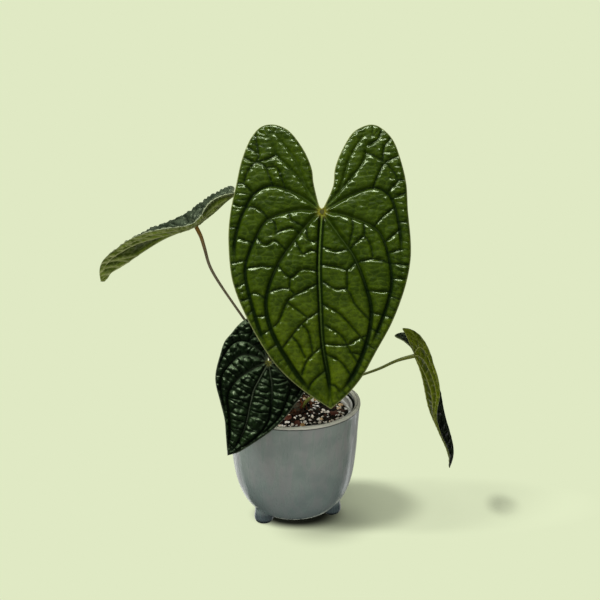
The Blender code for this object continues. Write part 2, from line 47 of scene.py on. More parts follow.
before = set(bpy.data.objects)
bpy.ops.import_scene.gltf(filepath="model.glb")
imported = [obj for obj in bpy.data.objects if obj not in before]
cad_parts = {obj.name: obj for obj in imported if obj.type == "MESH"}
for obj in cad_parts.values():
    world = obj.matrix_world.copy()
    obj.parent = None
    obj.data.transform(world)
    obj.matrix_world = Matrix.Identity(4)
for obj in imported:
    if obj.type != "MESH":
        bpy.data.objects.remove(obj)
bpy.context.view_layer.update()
POT_LOW, POT_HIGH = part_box("ceramic_pot")
AXIS = np.array([(POT_LOW[0] + POT_HIGH[0]) / 2, (POT_LOW[1] + POT_HIGH[1]) / 2, 0.0])
MM = 0.001
BODY = "root"
CREASE = 2.0  # half width in mm of the rounded fold along the middle vein
SPINE_BACK = 120  # how far in mm the spine of a blade runs behind its stalk
CHUNK = 20000  # points worked on at a time, to spare memory


# Leaf outline and veins of the heart that every blade is scaled from. Each line gives x and y in turn,
# from where the stalk meets the blade, with y towards the tip.

HEART_TIP = (8, 192)
HEART_LEFT = (-3, -7, -8, -28, -10, -44, -17, -62, -28, -79, -37, -87, -49, -91, -61, -88, -71, -75,
              -79, -53, -84, -28, -89, -2, -91, 24, -89, 56, -84, 78, -73, 104, -58, 131, -42, 153,
              -19, 174)
HEART_RIGHT = (3, -7, 11, -26, 13, -44, 19, -61, 28, -78, 36, -86, 49, -91, 60, -87, 71, -74, 78, -53,
               83, -28, 84, 0, 86, 30, 85, 52, 79, 78, 67, 109, 51, 138, 38, 161, 24, 178)
LOBE_LENGTH = 91  # how far the lobes reach behind the stalk
LOBE_MIDDLE = 49  # how far beside the middle line each lobe reaches furthest back
UPPER_MARGIN = 22  # where the numbers of the margin beside and beyond the stalk start
# Strength of each long vein against a plain one
VEIN_SIZES = (1.25, 1.0, 0.85, 0.8, 0.5, 0.4, 1.0, 0.85, 0.75, 0.5, 0.4)
LONG_VEINS = (
    (0, 1, -2, 30, -3, 58, -2, 88, 0, 128, 6, 165, 8, 190),
    (0, 0, -10, 8, -31, 35, -45, 58, -54, 88, -49, 117, -33, 146, -15, 171, 2, 185),
    (0, 0, -25, -1, -52, 8, -64, 26, -73, 49, -74, 65, -69, 88, -58, 123, -46, 143),
    (0, 0, -22, -16, -48, -26, -65, -19, -74, -5, -81, 13, -85, 35, -83, 60),
    (0, 0, -19, -29, -34, -47, -45, -59, -49, -77),
    (0, 0, -14, -21, -25, -51, -41, -73, -49, -82),
    (0, 0, 17, 25, 31, 46, 42, 75, 47, 100, 42, 130, 29, 160, 11, 184),
    (0, 0, 22, 4, 50, 16, 61, 33, 67, 65, 64, 87, 54, 115, 43, 140),
    (0, 0, 28, -16, 50, -24, 64, -18, 71, -5, 76, 23, 77, 50),
    (0, 0, 22, -26, 40, -50, 46, -71),
    (0, 0, 16, -18, 27, -53, 39, -75, 48, -80),
)
SIDE_VEINS = (
    (-3, 71, -26, 83, -34, 90, -42, 109, -48, 114),
    (-4, 99, -20, 111, -38, 134),
    (0, 132, -14, 145, -20, 160),
    (2, 156, -9, 165, -14, 174),
    (-1, 91, 16, 101, 31, 117, 42, 130),
    (3, 112, 18, 122, 26, 136, 34, 148),
    (4, 140, 17, 147, 28, 161),
    (7, 169, 12, 170, 17, 176),
    (1, 70, 13, 77, 24, 78, 32, 93, 46, 108),
    (-48, -26, -52, -37, -56, -46, -65, -50, -73, -40, -76, -29),
    (50, -24, 55, -36, 62, -49, 70, -41, 75, -31),
)
CROSS_VEINS = (
    (-73, 57, -60, 55, -46, 56), (-64, 26, -55, 34, -46, 30, -35, 39), (-44, 22, -30, 17, -21, 23),
    (-52, 8, -46, 12, -44, 21), (-32, 0, -30, 9, -19, 15), (-71, 84, -64, 81, -54, 87),
    (-64, 104, -53, 103), (-59, 122, -48, 115), (-52, 136, -43, 130), (-74, -4, -63, -3, -52, 8),
    (-81, 27, -67, 32), (-88, 52, -73, 49), (-84, 76, -74, 71), (-80, 89, -69, 86), (-73, 103, -66, 97),
    (-90, 16, -81, 17), (-74, -67, -62, -58, -65, -50), (-78, -56, -65, -50),
    (-84, -28, -77, -28, -68, -19), (-88, -9, -81, -5, -74, -6), (-66, -81, -62, -58),
    (-45, -58, -52, -54, -65, -50), (-35, -21, -44, -44, -55, -44), (-26, 30, -19, 43, -11, 39, -2, 42),
    (-43, 54, -31, 66, -19, 58, -3, 60), (-31, 66, -31, 77, -26, 83), (-16, 14, -13, 29, -1, 30),
    (-53, 81, -41, 77, -31, 77), (-20, 111, -13, 120, -9, 140), (-29, 123, -23, 130, -16, 144),
    (-34, 90, -14, 105), (34, 51, 50, 48, 65, 52), (27, 38, 40, 26, 47, 35, 49, 48),
    (29, 7, 30, 18, 25, 37), (41, 12, 41, 26), (43, 79, 66, 80), (47, 100, 60, 103), (46, 115, 55, 120),
    (42, 130, 50, 135), (50, 16, 61, 4, 71, -4), (61, 31, 76, 18), (64, 42, 77, 38), (65, 52, 85, 54),
    (67, 67, 82, 67), (65, 84, 76, 88), (60, 103, 68, 106), (68, -12, 83, -20), (64, -18, 75, -31, 82, -32),
    (62, -50, 77, -58), (75, 11, 85, 11), (44, -60, 53, -56, 62, -50), (60, -53, 62, -67, 69, -76),
    (46, -68, 56, -75, 60, -86), (-2, 53, 17, 56, 24, 59, 33, 50), (-1, 35, 13, 40, 26, 38),
    (24, 59, 24, 78), (2, 130, 23, 131, 34, 125, 43, 122), (26, 138, 36, 140),
)


def at(points):
    """Points in mm from the pot's axis, as metres in the frame."""
    return np.asarray(points, float) * MM + AXIS


def track(table, v):
    """Value at v of a table of places and values in turn, averaged over 24 mm to round the bends."""
    spread = np.linspace(-12, 12, 9)
    return np.mean([np.interp(np.asarray(v, float) + d, table[::2], table[1::2]) for d in spread], axis=0)


def heading(tip, place, roll):
    """Turn that sends -Y from place to tip, upper face up, then rolled about that line."""
    y = np.array(place, float) - np.array(tip, float)
    y /= np.linalg.norm(y)
    up = np.array([0, 0, 1.0]) - y * y[2]
    up /= np.linalg.norm(up)
    angle = math.radians(roll)
    z = up * math.cos(angle) + np.cross(y, up) * math.sin(angle)
    return np.stack([np.cross(y, z), y, z], 1)


class Leaf:
    """One blade: how the heart is scaled, bent and folded, and where it stands."""

    def __init__(self, node, **parts):
        usual = {"node": node, "twist": (0, 0), "lobes": (0,) * 6, "edge_rung": 5.5, "edge_fall": 1.6,
                 "lean": 0, "crowd": 0, "peak": 2, "own": None}
        self.__dict__.update(usual, **parts)
        self.width, self.tip, self.lobe = self.scale
        self.puff, self.puff_width, self.puff_slope = parts["puff"]
        self.dome, self.dome_size = parts["dome"][0], np.array(parts["dome"][1:], float)
        self.groove, self.groove_width = parts["groove"]
        self.turn = heading(self.tip_at, self.place, self.roll)
        self.place = np.array(self.place, float)
        self.run = np.arange(-SPINE_BACK, 2 * SPINE_BACK + 1, 1.0)
        pitch = np.radians(track(self.bend, self.run))
        ahead = np.stack([-np.cos(pitch), np.sin(pitch)], 1)
        spine = np.vstack([[0, 0], np.cumsum((ahead[1:] + ahead[:-1]) / 2, axis=0)])
        self.spine = spine - spine[SPINE_BACK]

    def flat(self, points):
        """Heart points scaled to this blade, and squeezed to its own outline if it has one."""
        p = np.array(points, float).reshape(-1, 2)
        u, v = p[:, 0] * self.width, p[:, 1] * np.where(p[:, 1] > 0, self.tip, self.lobe)
        if self.own:
            margins = [np.reshape((*side[UPPER_MARGIN:], *HEART_TIP), (-1, 2)).T
                       for side in (HEART_LEFT, HEART_RIGHT)]
            low, high = [np.interp(p[:, 1], y, x * self.width) for x, y in margins]
            marks, left, right = [self.own[k::3] for k in range(3)]
            share = (u - low) / np.maximum(high - low, 0.5)
            u = np.interp(v, marks, left) * (1 - share) + np.interp(v, marks, right) * share
        return np.stack([u, v], 1)

    def world(self, flat, lift):
        """Where flat points of the blade stand, lifted off its sheet by lift."""
        u, v = flat[:, 0], flat[:, 1]
        side = np.sign(u)
        left = u < 0
        pinch, shift, raised = [np.where(left, *self.lobes[k:k + 2]) for k in (0, 2, 4)]
        back = np.clip(-v / (LOBE_LENGTH * self.lobe), 0, 1) ** 2
        u = u + back * (shift - pinch * (u - side * LOBE_MIDDLE * self.width))
        lift = lift + back * raised
        y = np.interp(v, self.run, self.spine[:, 0])
        z = np.interp(v, self.run, self.spine[:, 1])
        pitch = np.radians(track(self.bend, v))
        twist = np.radians(track(self.twist, v))
        fold = np.radians(np.where(left, track(self.fold_left, v), track(self.fold_right, v)))
        curl = np.radians(np.where(left, *self.curl)) / 10
        curl = np.where(np.abs(curl) < 1e-6, 1e-6, curl)
        eased = np.sqrt(u * u + CREASE * CREASE)
        end = fold + curl * np.abs(u)
        lean = end * np.abs(u) / eased
        out = side * ((np.sin(end) - np.sin(fold)) / curl - np.sin(lean) * lift)
        rise = (np.cos(fold) - np.cos(fold + curl * (eased - CREASE))) / curl + np.cos(lean) * lift
        across = np.stack([np.cos(twist), np.sin(twist) * np.sin(pitch),
                           np.sin(twist) * np.cos(pitch)], 1)
        normal = np.stack([-np.sin(twist), np.cos(twist) * np.sin(pitch),
                           np.cos(twist) * np.cos(pitch)], 1)
        spot = np.stack([0 * y, y, z], 1) + across * out[:, None] + normal * rise[:, None]
        return spot @ self.turn.T + self.place


# The blades. Scale is the width, the length to the tip and the length of the lobes against the heart.
# Bend, folds and twist each list a place along the blade in mm and the degrees there, in turn. Curl is
# degrees in 10 mm for the left and right half, and lobes are the pinch, shift and lift of each half.
# Rung spaces the cross veins, which are the heart's own where it is None, and lean tilts them.
# Edge_rung spaces the veins of the margin. Puff is the height, width and slope of the cells, which
# fade out towards the margin over edge_fall times their width. Dome is the height and size of the
# small domes: crowd raises them near the stalk and peak rounds them. Groove is the depth and width of
# the veins. Own is an outline of the blade's own: a place along it and both margins there, in turn.
LEAVES = (
    Leaf("blade_front", scale=(1, 1, 1), bend=(-90, 5, 0, 0, 192, -10), fold_left=(0, 4), fold_right=(0, 4),
         curl=(-1.0, -1.0), thickness=0.8, step=1.0, rung=None, edge_rung=7.8, puff=(1.8, 2.4, 2.9),
         dome=(0.9, 9, 5), crowd=0.5, peak=1.4, groove=(1.5, 2.0), place=(27.7, -20, 336.8),
         tip_at=(27.7, -71.5, 251.1), roll=0, slot="blade_olive"),
    Leaf("blade_low", scale=(0.53, 0.52, 0.40), bend=(-50, 12, 0, 0, 100, -12), fold_left=(0, 6),
         fold_right=(0, 6), curl=(-1.5, -1.5), thickness=0.7, step=0.8, rung=7.0, edge_rung=4.6,
         puff=(1.6, 1.3, 2.4), dome=(3.4, 6.6, 5.8), peak=1.25, groove=(0.7, 1.0),
         place=(-24.5, -60, 194.3), tip_at=(-65.2, -98.6, 111.5), roll=41.1, slot="blade_dark",
         own=(0, -48, 44.5, 18, -46, 43, 32, -43, 39, 45, -36, 36.5, 57, -25, 31, 66, -18, 26, 79, -11, 18,
         86, -7, 13, 96, -2.5, 5.6, 100, 0, 0)),
    Leaf("blade_left", scale=(0.61, 0.584, 0.597), bend=(-60, -12.6, -45, -17.7, -30, -21.7, -12, -11.2,
         0, -0.9, 20, 2.5, 40, -9.4, 60, -11.9, 85, -14.1, 110, -31.6), fold_left=(-60, 12.1, -40, 5,
         -20, 8.6, 0, 1.9, 20, 2.9, 40, 4.7, 60, 15, 85, 14, 110, 14.8), fold_right=(-60, 21.4, -40, 35.7,
         -20, 28.8, 0, 17.8, 20, 18.9, 50, 30.5, 80, 39.2, 105, 64.7), curl=(-1.76, 0.92), twist=(-40, 0,
         0, 0.8, 50, 5.7, 100, 10.9), lobes=(0.07, 0.27, -0.4, -0.4, -5.2, -2.0), thickness=0.7, step=0.9,
         rung=10.5, lean=48, edge_fall=1.0, puff=(2.6, 2.4, 2.4), dome=(0.5, 9, 7), groove=(0.9, 1.0),
         place=(-100.2, 22.9, 311.8), tip_at=(-190.2, 3.8, 280), roll=3.1, slot="blade_grey"),
    Leaf("blade_right", scale=(0.453, 0.655, 0.301), bend=(-60, 79.3, -38, 68.7, -15, 29.1, 0, 11.9,
         12, 5.5, 25, -4, 50, -5.5, 62, 8.1, 95, 12.4, 110, -2.8, 125, -31.5), fold_left=(-60, 34,
         -30, 30.5, -12, 18.4, 0, 10.9, 20, 12.2, 40, 11.1, 60, 1.7, 90, 8.5, 125, 20.1),
         fold_right=(-60, 14.2, -30, 27, 0, 29, 30, 24.4, 45, 29.9, 60, 27.2, 90, 12.9, 125, 7.8),
         curl=(2.03, 0.86), twist=(-30, -18.9, 0, -4.2, 50, -2.7, 80, 8.1, 125, 20.3),
         lobes=(0.62, 0.11, 1.8, 3.3, -1.9, -6.0), thickness=0.7, step=0.9, rung=7.5, puff=(1.2, 2.0, 3.0),
         dome=(0.7, 6, 6), groove=(0.8, 0.8), place=(125.4, -2.9, 179.5), tip_at=(160.5, -31.4, 57.2),
         roll=38.65, slot="blade_green"),
)

# Stalks: the blade, the points each one runs through from its socket in the crown, its slot, and how
# far behind its blade it turns to meet the blade squarely.
STALKS = (
    ("petiole_front", "blade_front", ((1, 5.5, 113.4), (4, 12, 140), (9, 22, 172), (16, 27, 230),
                                      (23, 18, 290), (26.2, 2, 318)), "stalk_brown", 5.0),
    ("petiole_low", "blade_low", ((-1, -5.5, 113.4), (-5, -11, 140), (-11, -21, 163), (-17, -33, 180),
                                  (-21, -44, 190)), "stalk_green", 4.0),
    ("petiole_left", "blade_left", ((-5.6, 0.5, 113.4), (-7.6, 2.6, 129.9), (-18.9, 8, 159),
                                    (-33.4, 12, 185.5), (-48, 16, 206.9), (-74.9, 21, 246.8),
                                    (-86.5, 23, 267.8), (-91.6, 24, 286.7), (-95, 24.6, 299)),
     "stalk_brown", 3.0),
    ("petiole_right", "blade_right", ((5.6, -0.5, 113.4), (13, -0.4, 127), (32.5, -1, 140.1),
                                      (53.3, -2, 150.7), (72.3, -3, 158.5), (89.1, -4, 165.6),
                                      (102.2, -4, 172.3), (112, -4, 176.2)), "stalk_green", 0.0),
)
# Share of a stalk's length and its radius there, in turn
STALK_RADIUS = (0, 2.4, 0.06, 2.0, 0.2, 1.5, 0.6, 1.3, 0.85, 1.6, 1, 2.2)

# Radius and height of the turned pieces
POT_OUTER = ((69.9, 125.8), (69.2, 122), (68.6, 112), (67.3, 93), (66.2, 76), (64.9, 62), (63.2, 50),
             (60.9, 40), (57.9, 31), (54, 23), (48.8, 16), (43.4, 11), (37.4, 7.5), (31, 5.6), (18, 5.2),
             (0, 5.2))
POT_INNER = ((0, 12), (20, 12), (36, 12), (38.6, 13.2), (43.4, 18.6), (48.6, 27), (53, 37), (56.4, 50),
             (59, 65), (61, 85), (62.6, 105), (63.6, 119), (64.0, 125.6))
POT_RIM = ((64.5, 127.2), (65.8, 128.3), (67.2, 128.6), (68.5, 128.2), (69.5, 127.3))
# Distance of each foot from the axis and its turn in degrees from the front
FOOT_SPOTS = ((41.4, -50.5), (40.9, 79), (42.4, 194))
FOOT = ((0, 0), (5, 0), (8, 0.9), (9.6, 2.8), (10.2, 5.4), (10, 8.6), (9.6, 12), (9.4, 15), (9.5, 18),
        (9.8, 21), (10, 23.8), (8, 26), (0, 26.5))
NURSERY_COLLAR = 61.8
NURSERY_WALL = ((0, 13.3), (34.4, 13.3), (56.4, 107), (57.3, 109), (57.5, 115.8), (58.9, 116.4),
                (59.1, 121.9), (59.7, 122.8), (NURSERY_COLLAR - 0.5, 123.2), (NURSERY_COLLAR - 0.1, 122.9),
                (NURSERY_COLLAR, 122.4), (NURSERY_COLLAR, 111), (59.9, 109.6), (58.4, 107.6), (57.4, 106.5),
                (46, 57), (35.4, 12.3), (0, 12.3))
MIX_TOP = 114.0
# Points and thickest radius of the dry twigs
TWIGS = (
    (((9, 22, 122), (12, 19, 124.5), (15.5, 16, 122), (18, 12.5, 118), (19.5, 10, 113.5)), 1.5),
    (((5, 12, 121), (8.5, 9, 122), (12, 7, 119), (14, 5, 113.5)), 1.1),
    (((22, 20, 115), (17, 17, 119), (12, 15, 118), (8, 12, 113)), 0.9),
)
CROWN = ((0, 124.5), (5, 124), (9.2, 121), (11, 115), (10.6, 106), (7.5, 99), (0, 97))
SHEATH_TURNS = (-70, 5, 60, 130, 200, 260)  # degrees from the front

# Ovals of shade on the floor: x and y of the middle, then half the width and half the depth. Under and
# beside the pot the shadow is painted in; in the other ovals the glow gives way to the lit floor.
UNDER_POT = (2, -13, 56, 36)
PAINTED_SHADOW_BESIDE_POT = (30, -30, 66, 58)
POT_SHADE = (60, 9, 70, 53)
PLANT_SHADE = (150, 10, 190, 66)
RIGHT_LEAF_SHADE = (229, 6, 25, 36)
CAMERA_SPOT = (6.3, -1063.9, 595.1)
CAMERA_DOWN = 18.5  # degrees that the camera looks below level


# Shapes

def smooth_line(points, step):
    """Curve through the points, with one point about every step, both ends kept."""
    p = np.array(points, float)
    if len(p) > 2:
        ends = np.vstack([2 * p[0] - p[1], p, 2 * p[-1] - p[-2]])
        t = np.linspace(0, 1, 12, endpoint=False)[:, None]
        bits = []
        for a, b, c, d in zip(ends, ends[1:], ends[2:], ends[3:]):
            bend = 2 * a - 5 * b + 4 * c - d + t * (3 * b - 3 * c + d - a)
            bits.append(b + 0.5 * t * (c - a + t * bend))
        p = np.vstack(bits + [p[-1:]])
    run = np.concatenate([[0], np.cumsum(np.linalg.norm(np.diff(p, axis=0), axis=1))])
    marks = np.linspace(0, run[-1], max(2, int(round(run[-1] / step)) + 1))
    return np.stack([np.interp(marks, run, p[:, k]) for k in range(p.shape[1])], 1)


def nearest_line(points, lines):
    """Distance from each flat point to the nearest line, and the share of that line's length there."""
    nearest = np.full(len(points), 1e9)
    share = np.zeros(len(points))
    for line in lines:
        a, ab = line[:-1], np.diff(line, axis=0)
        for first in range(0, len(points), CHUNK):
            some = slice(first, first + CHUNK)
            ap = points[some, None] - a[None]
            t = np.clip((ap * ab).sum(2) / np.maximum((ab * ab).sum(1), 1e-9), 0, 1)
            gap = np.linalg.norm(ap - t[..., None] * ab, axis=2)
            k = gap.argmin(1)
            rows = np.arange(len(k))
            closer = gap[rows, k] < nearest[some]
            nearest[some] = np.where(closer, gap[rows, k], nearest[some])
            share[some] = np.where(closer, (k + t[rows, k]) / len(a), share[some])
    return nearest, share


def inside(points, loop):
    """True for each flat point that lies in the closed loop."""
    b = np.roll(loop, -1, axis=0)
    found = np.zeros(len(points), bool)
    for first in range(0, len(points), CHUNK):
        x, y = points[first:first + CHUNK, :, None].transpose(1, 0, 2)
        level = (loop[:, 1] > y) != (b[:, 1] > y)
        run = np.where(b[:, 1] == loop[:, 1], 1, b[:, 1] - loop[:, 1])
        cross = loop[:, 0] + (y - loop[:, 1]) * (b[:, 0] - loop[:, 0]) / run
        found[first:first + CHUNK] = (level & (x < cross)).sum(1) % 2 == 1
    return found


def ray_reach(start, aim, lines):
    """Distance from start along aim to the first of the lines, or None."""
    best = None
    for line in lines:
        a, ab = line[:-1] - start, np.diff(line, axis=0)
        det = aim[0] * ab[:, 1] - aim[1] * ab[:, 0]
        det = np.where(np.abs(det) < 1e-9, 1e-9, det)
        far = (a[:, 0] * ab[:, 1] - a[:, 1] * ab[:, 0]) / det
        share = (a[:, 0] * aim[1] - a[:, 1] * aim[0]) / det
        hit = far[(share >= 0) & (share <= 1) & (far > 0.5)]
        if len(hit) and (best is None or hit.min() < best):
            best = hit.min()
    return best


def rungs(leaf, long_lines, loop, rand):
    """Cross veins of a small blade: from each long vein outward to the next one."""
    found = []
    edge = np.vstack([loop, loop[:1]])
    for place, line in enumerate(long_lines):
        others = [other for k, other in enumerate(long_lines) if k != place] + [edge]
        marks = smooth_line(line, leaf.rung)
        for before, spot, after in zip(marks, marks[1:], marks[2:]):
            ahead = (after - before) / np.linalg.norm(after - before)
            for side in (-1, 1) if place == 0 else (np.sign(spot[0]),):
                out = np.array([ahead[1], -ahead[0]])
                out *= side if out[0] >= 0 else -side
                lean = leaf.lean * (side if out[0] * side > 0 else -side)
                tilt = math.radians(rand.uniform(-16, 16) + lean)
                aim = np.array([out[0] * math.cos(tilt) - out[1] * math.sin(tilt),
                                out[0] * math.sin(tilt) + out[1] * math.cos(tilt)])
                reach = ray_reach(spot, aim, others)
                if reach and 2.0 < reach < 34:
                    middle = spot + aim * reach * 0.5 + ahead * rand.uniform(-0.12, 0.12) * reach
                    found.append(smooth_line((spot, middle, spot + aim * reach), 2.0))
    return found


def edge_rungs(leaf, loop, long_lines, rand):
    """Fine veins from the margin inwards, as far as the next long vein."""
    found = []
    marks = smooth_line(np.vstack([loop, loop[:1]]), leaf.edge_rung)
    for before, spot, after in zip(marks, marks[1:], marks[2:]):
        ahead = (after - before) / np.linalg.norm(after - before)
        aim = np.array([-ahead[1], ahead[0]])
        if not inside(np.array([spot + 2 * aim]), loop)[0]:
            aim = -aim
        aim = aim + (0, -0.25 * rand.uniform(0.2, 1.6))
        reach = ray_reach(spot, aim, long_lines)
        reach = min(reach or 5.0, 15.0 * leaf.width + 2) * rand.uniform(0.8, 1.0)
        if spot[1] < 0 and abs(spot[0]) < 40 * leaf.width:
            reach = min(reach, 3.0)
        bend = spot + aim * reach * 0.5 + (0, rand.uniform(-0.7, 0.7))
        found.append(smooth_line((spot, bend, spot + aim * reach), 2.0))
    return found


def grain(points, size, seed):
    """Smooth noise from -1 to 1 at points, with lumps of about that size."""
    shift = seed * 17.3
    return np.array([noise.noise((p[0] / size + shift, p[1] / size - shift, shift)) for p in points])


def net(points, size, seed):
    """Random cells of about that width and height: distance to the middle and to the wall of each."""
    spots = points / size + seed * 11.7
    found = []
    for step in np.ndindex(3, 3):
        cell = np.floor(spots) + np.array(step) - 1
        # The part of this after the point is a random number, always the same for the same cell
        chance = np.sin(cell @ ((127.1, 269.5), (311.7, 183.3))) * 43758.5453
        found.append(np.linalg.norm(cell + 0.5 + 0.8 * (chance % 1 - 0.5) - spots, axis=1))
    found = np.sort(found, axis=0)
    return found[0], found[1] - found[0]


def smooth(mesh):
    """Shade every face of a mesh smoothly."""
    mesh.polygons.foreach_set("use_smooth", np.ones(len(mesh.polygons), bool))
    mesh.update()
    return mesh


def mesh_of(name, points, faces, marks=None, skin=None):
    """A mesh from points in metres, faces, named values a point and a material number a face."""
    mesh = bpy.data.meshes.new(name)
    mesh.from_pydata([tuple(p) for p in points], [], [tuple(int(k) for k in f) for f in faces])
    for key, values in (marks or {}).items():
        held = mesh.attributes.new(key, "FLOAT", "POINT")
        held.data.foreach_set("value", np.asarray(values, np.float32))
    if skin is not None:
        mesh.polygons.foreach_set("material_index", np.asarray(skin, np.int32))
    return smooth(mesh)


def final_mesh(thing, name, *helpers):
    """The mesh of an object with its modifiers worked in. The object and its helpers are removed."""
    bpy.context.view_layer.update()
    graph = bpy.context.evaluated_depsgraph_get()
    mesh = bpy.data.meshes.new_from_object(thing.evaluated_get(graph), depsgraph=graph)
    for used in (thing, *helpers):
        held = used.data
        bpy.data.objects.remove(used)
        (bpy.data.curves if isinstance(held, bpy.types.Curve) else bpy.data.meshes).remove(held)
    mesh.name = name
    return mesh


def add_to_scene(thing):
    """Put an object in the scene."""
    bpy.context.scene.collection.objects.link(thing)
    return thing


def show(name, mesh, materials):
    """Put a finished mesh in the scene as a piece."""
    for material in materials:
        mesh.materials.append(material)
    return add_to_scene(bpy.data.objects.new(name, mesh))


def settle(thing, node):
    """Ride on the plant's one body in place of a solid, which is hidden."""
    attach(thing, BODY)
    if node:
        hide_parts(node)


def spans(points, faces):
    """Cross product of the first two sides of each triangle."""
    return np.cross(points[faces[:, 1]] - points[faces[:, 0]], points[faces[:, 2]] - points[faces[:, 0]])


def ridge(away, width, power=2):
    """1 on a line and near 0 from about twice the width away from it."""
    return np.exp(-(away / width) ** power)


def flat_mesh(loop, long_lines, step):
    """Triangles that fill the outline of a blade, with edges along its margin and its long veins."""
    edge = np.vstack([loop, loop[:1]])[::2]
    low, high = loop.min(0), loop.max(0)
    rows = np.arange(low[1], high[1], step * 0.866)  # this far apart, the triangles are even
    cols = np.arange(low[0], high[0], step)
    lattice = np.array([(x + 0.5 * step * (k % 2), y) for k, y in enumerate(rows) for x in cols])
    lattice = lattice[inside(lattice, edge)]
    gap, _ = nearest_line(lattice, [edge] + [line[::2] for line in long_lines])
    lattice = lattice[gap > 0.55 * step]

    points = [Vector(p) for p in loop]
    edges = [(k, (k + 1) % len(loop)) for k in range(len(loop))]
    for line in long_lines:
        edges += [(len(points) + k, len(points) + k + 1) for k in range(len(line) - 1)]
        points += [Vector(p) for p in line]
    points += [Vector(p) for p in lattice]
    # 1 keeps only the triangles inside the outline, and points within 0.05 mm become one
    flat, _, faces, *_ = delaunay_2d_cdt(points, edges, [], 1, 0.05)
    flat = np.array([tuple(p) for p in flat])
    faces = np.array([tuple(f) for f in faces])
    used = np.unique(faces)
    flat, faces = flat[used], np.searchsorted(used, faces)
    away = spans(flat, faces) > 0
    faces[away] = faces[away][:, ::-1]
    return flat, faces


def shell(faces, count):
    """Both sides of a sheet and the wall between them, and 1 for each face of the lower side.

    The faces are those of the upper side, and the lower points follow its count of points."""
    whole = np.vstack([faces[:, [0, 1]], faces[:, [1, 2]], faces[:, [2, 0]]])
    _, first, times = np.unique(np.sort(whole, axis=1), axis=0, return_index=True, return_counts=True)
    walls = [(b, a, a + count, b + count) for a, b in whole[first[times == 1]]]
    skin = np.concatenate([np.zeros(len(faces)), np.ones(len(faces)), np.zeros(len(walls))])
    return [*faces, *(faces[:, ::-1] + count), *walls], skin


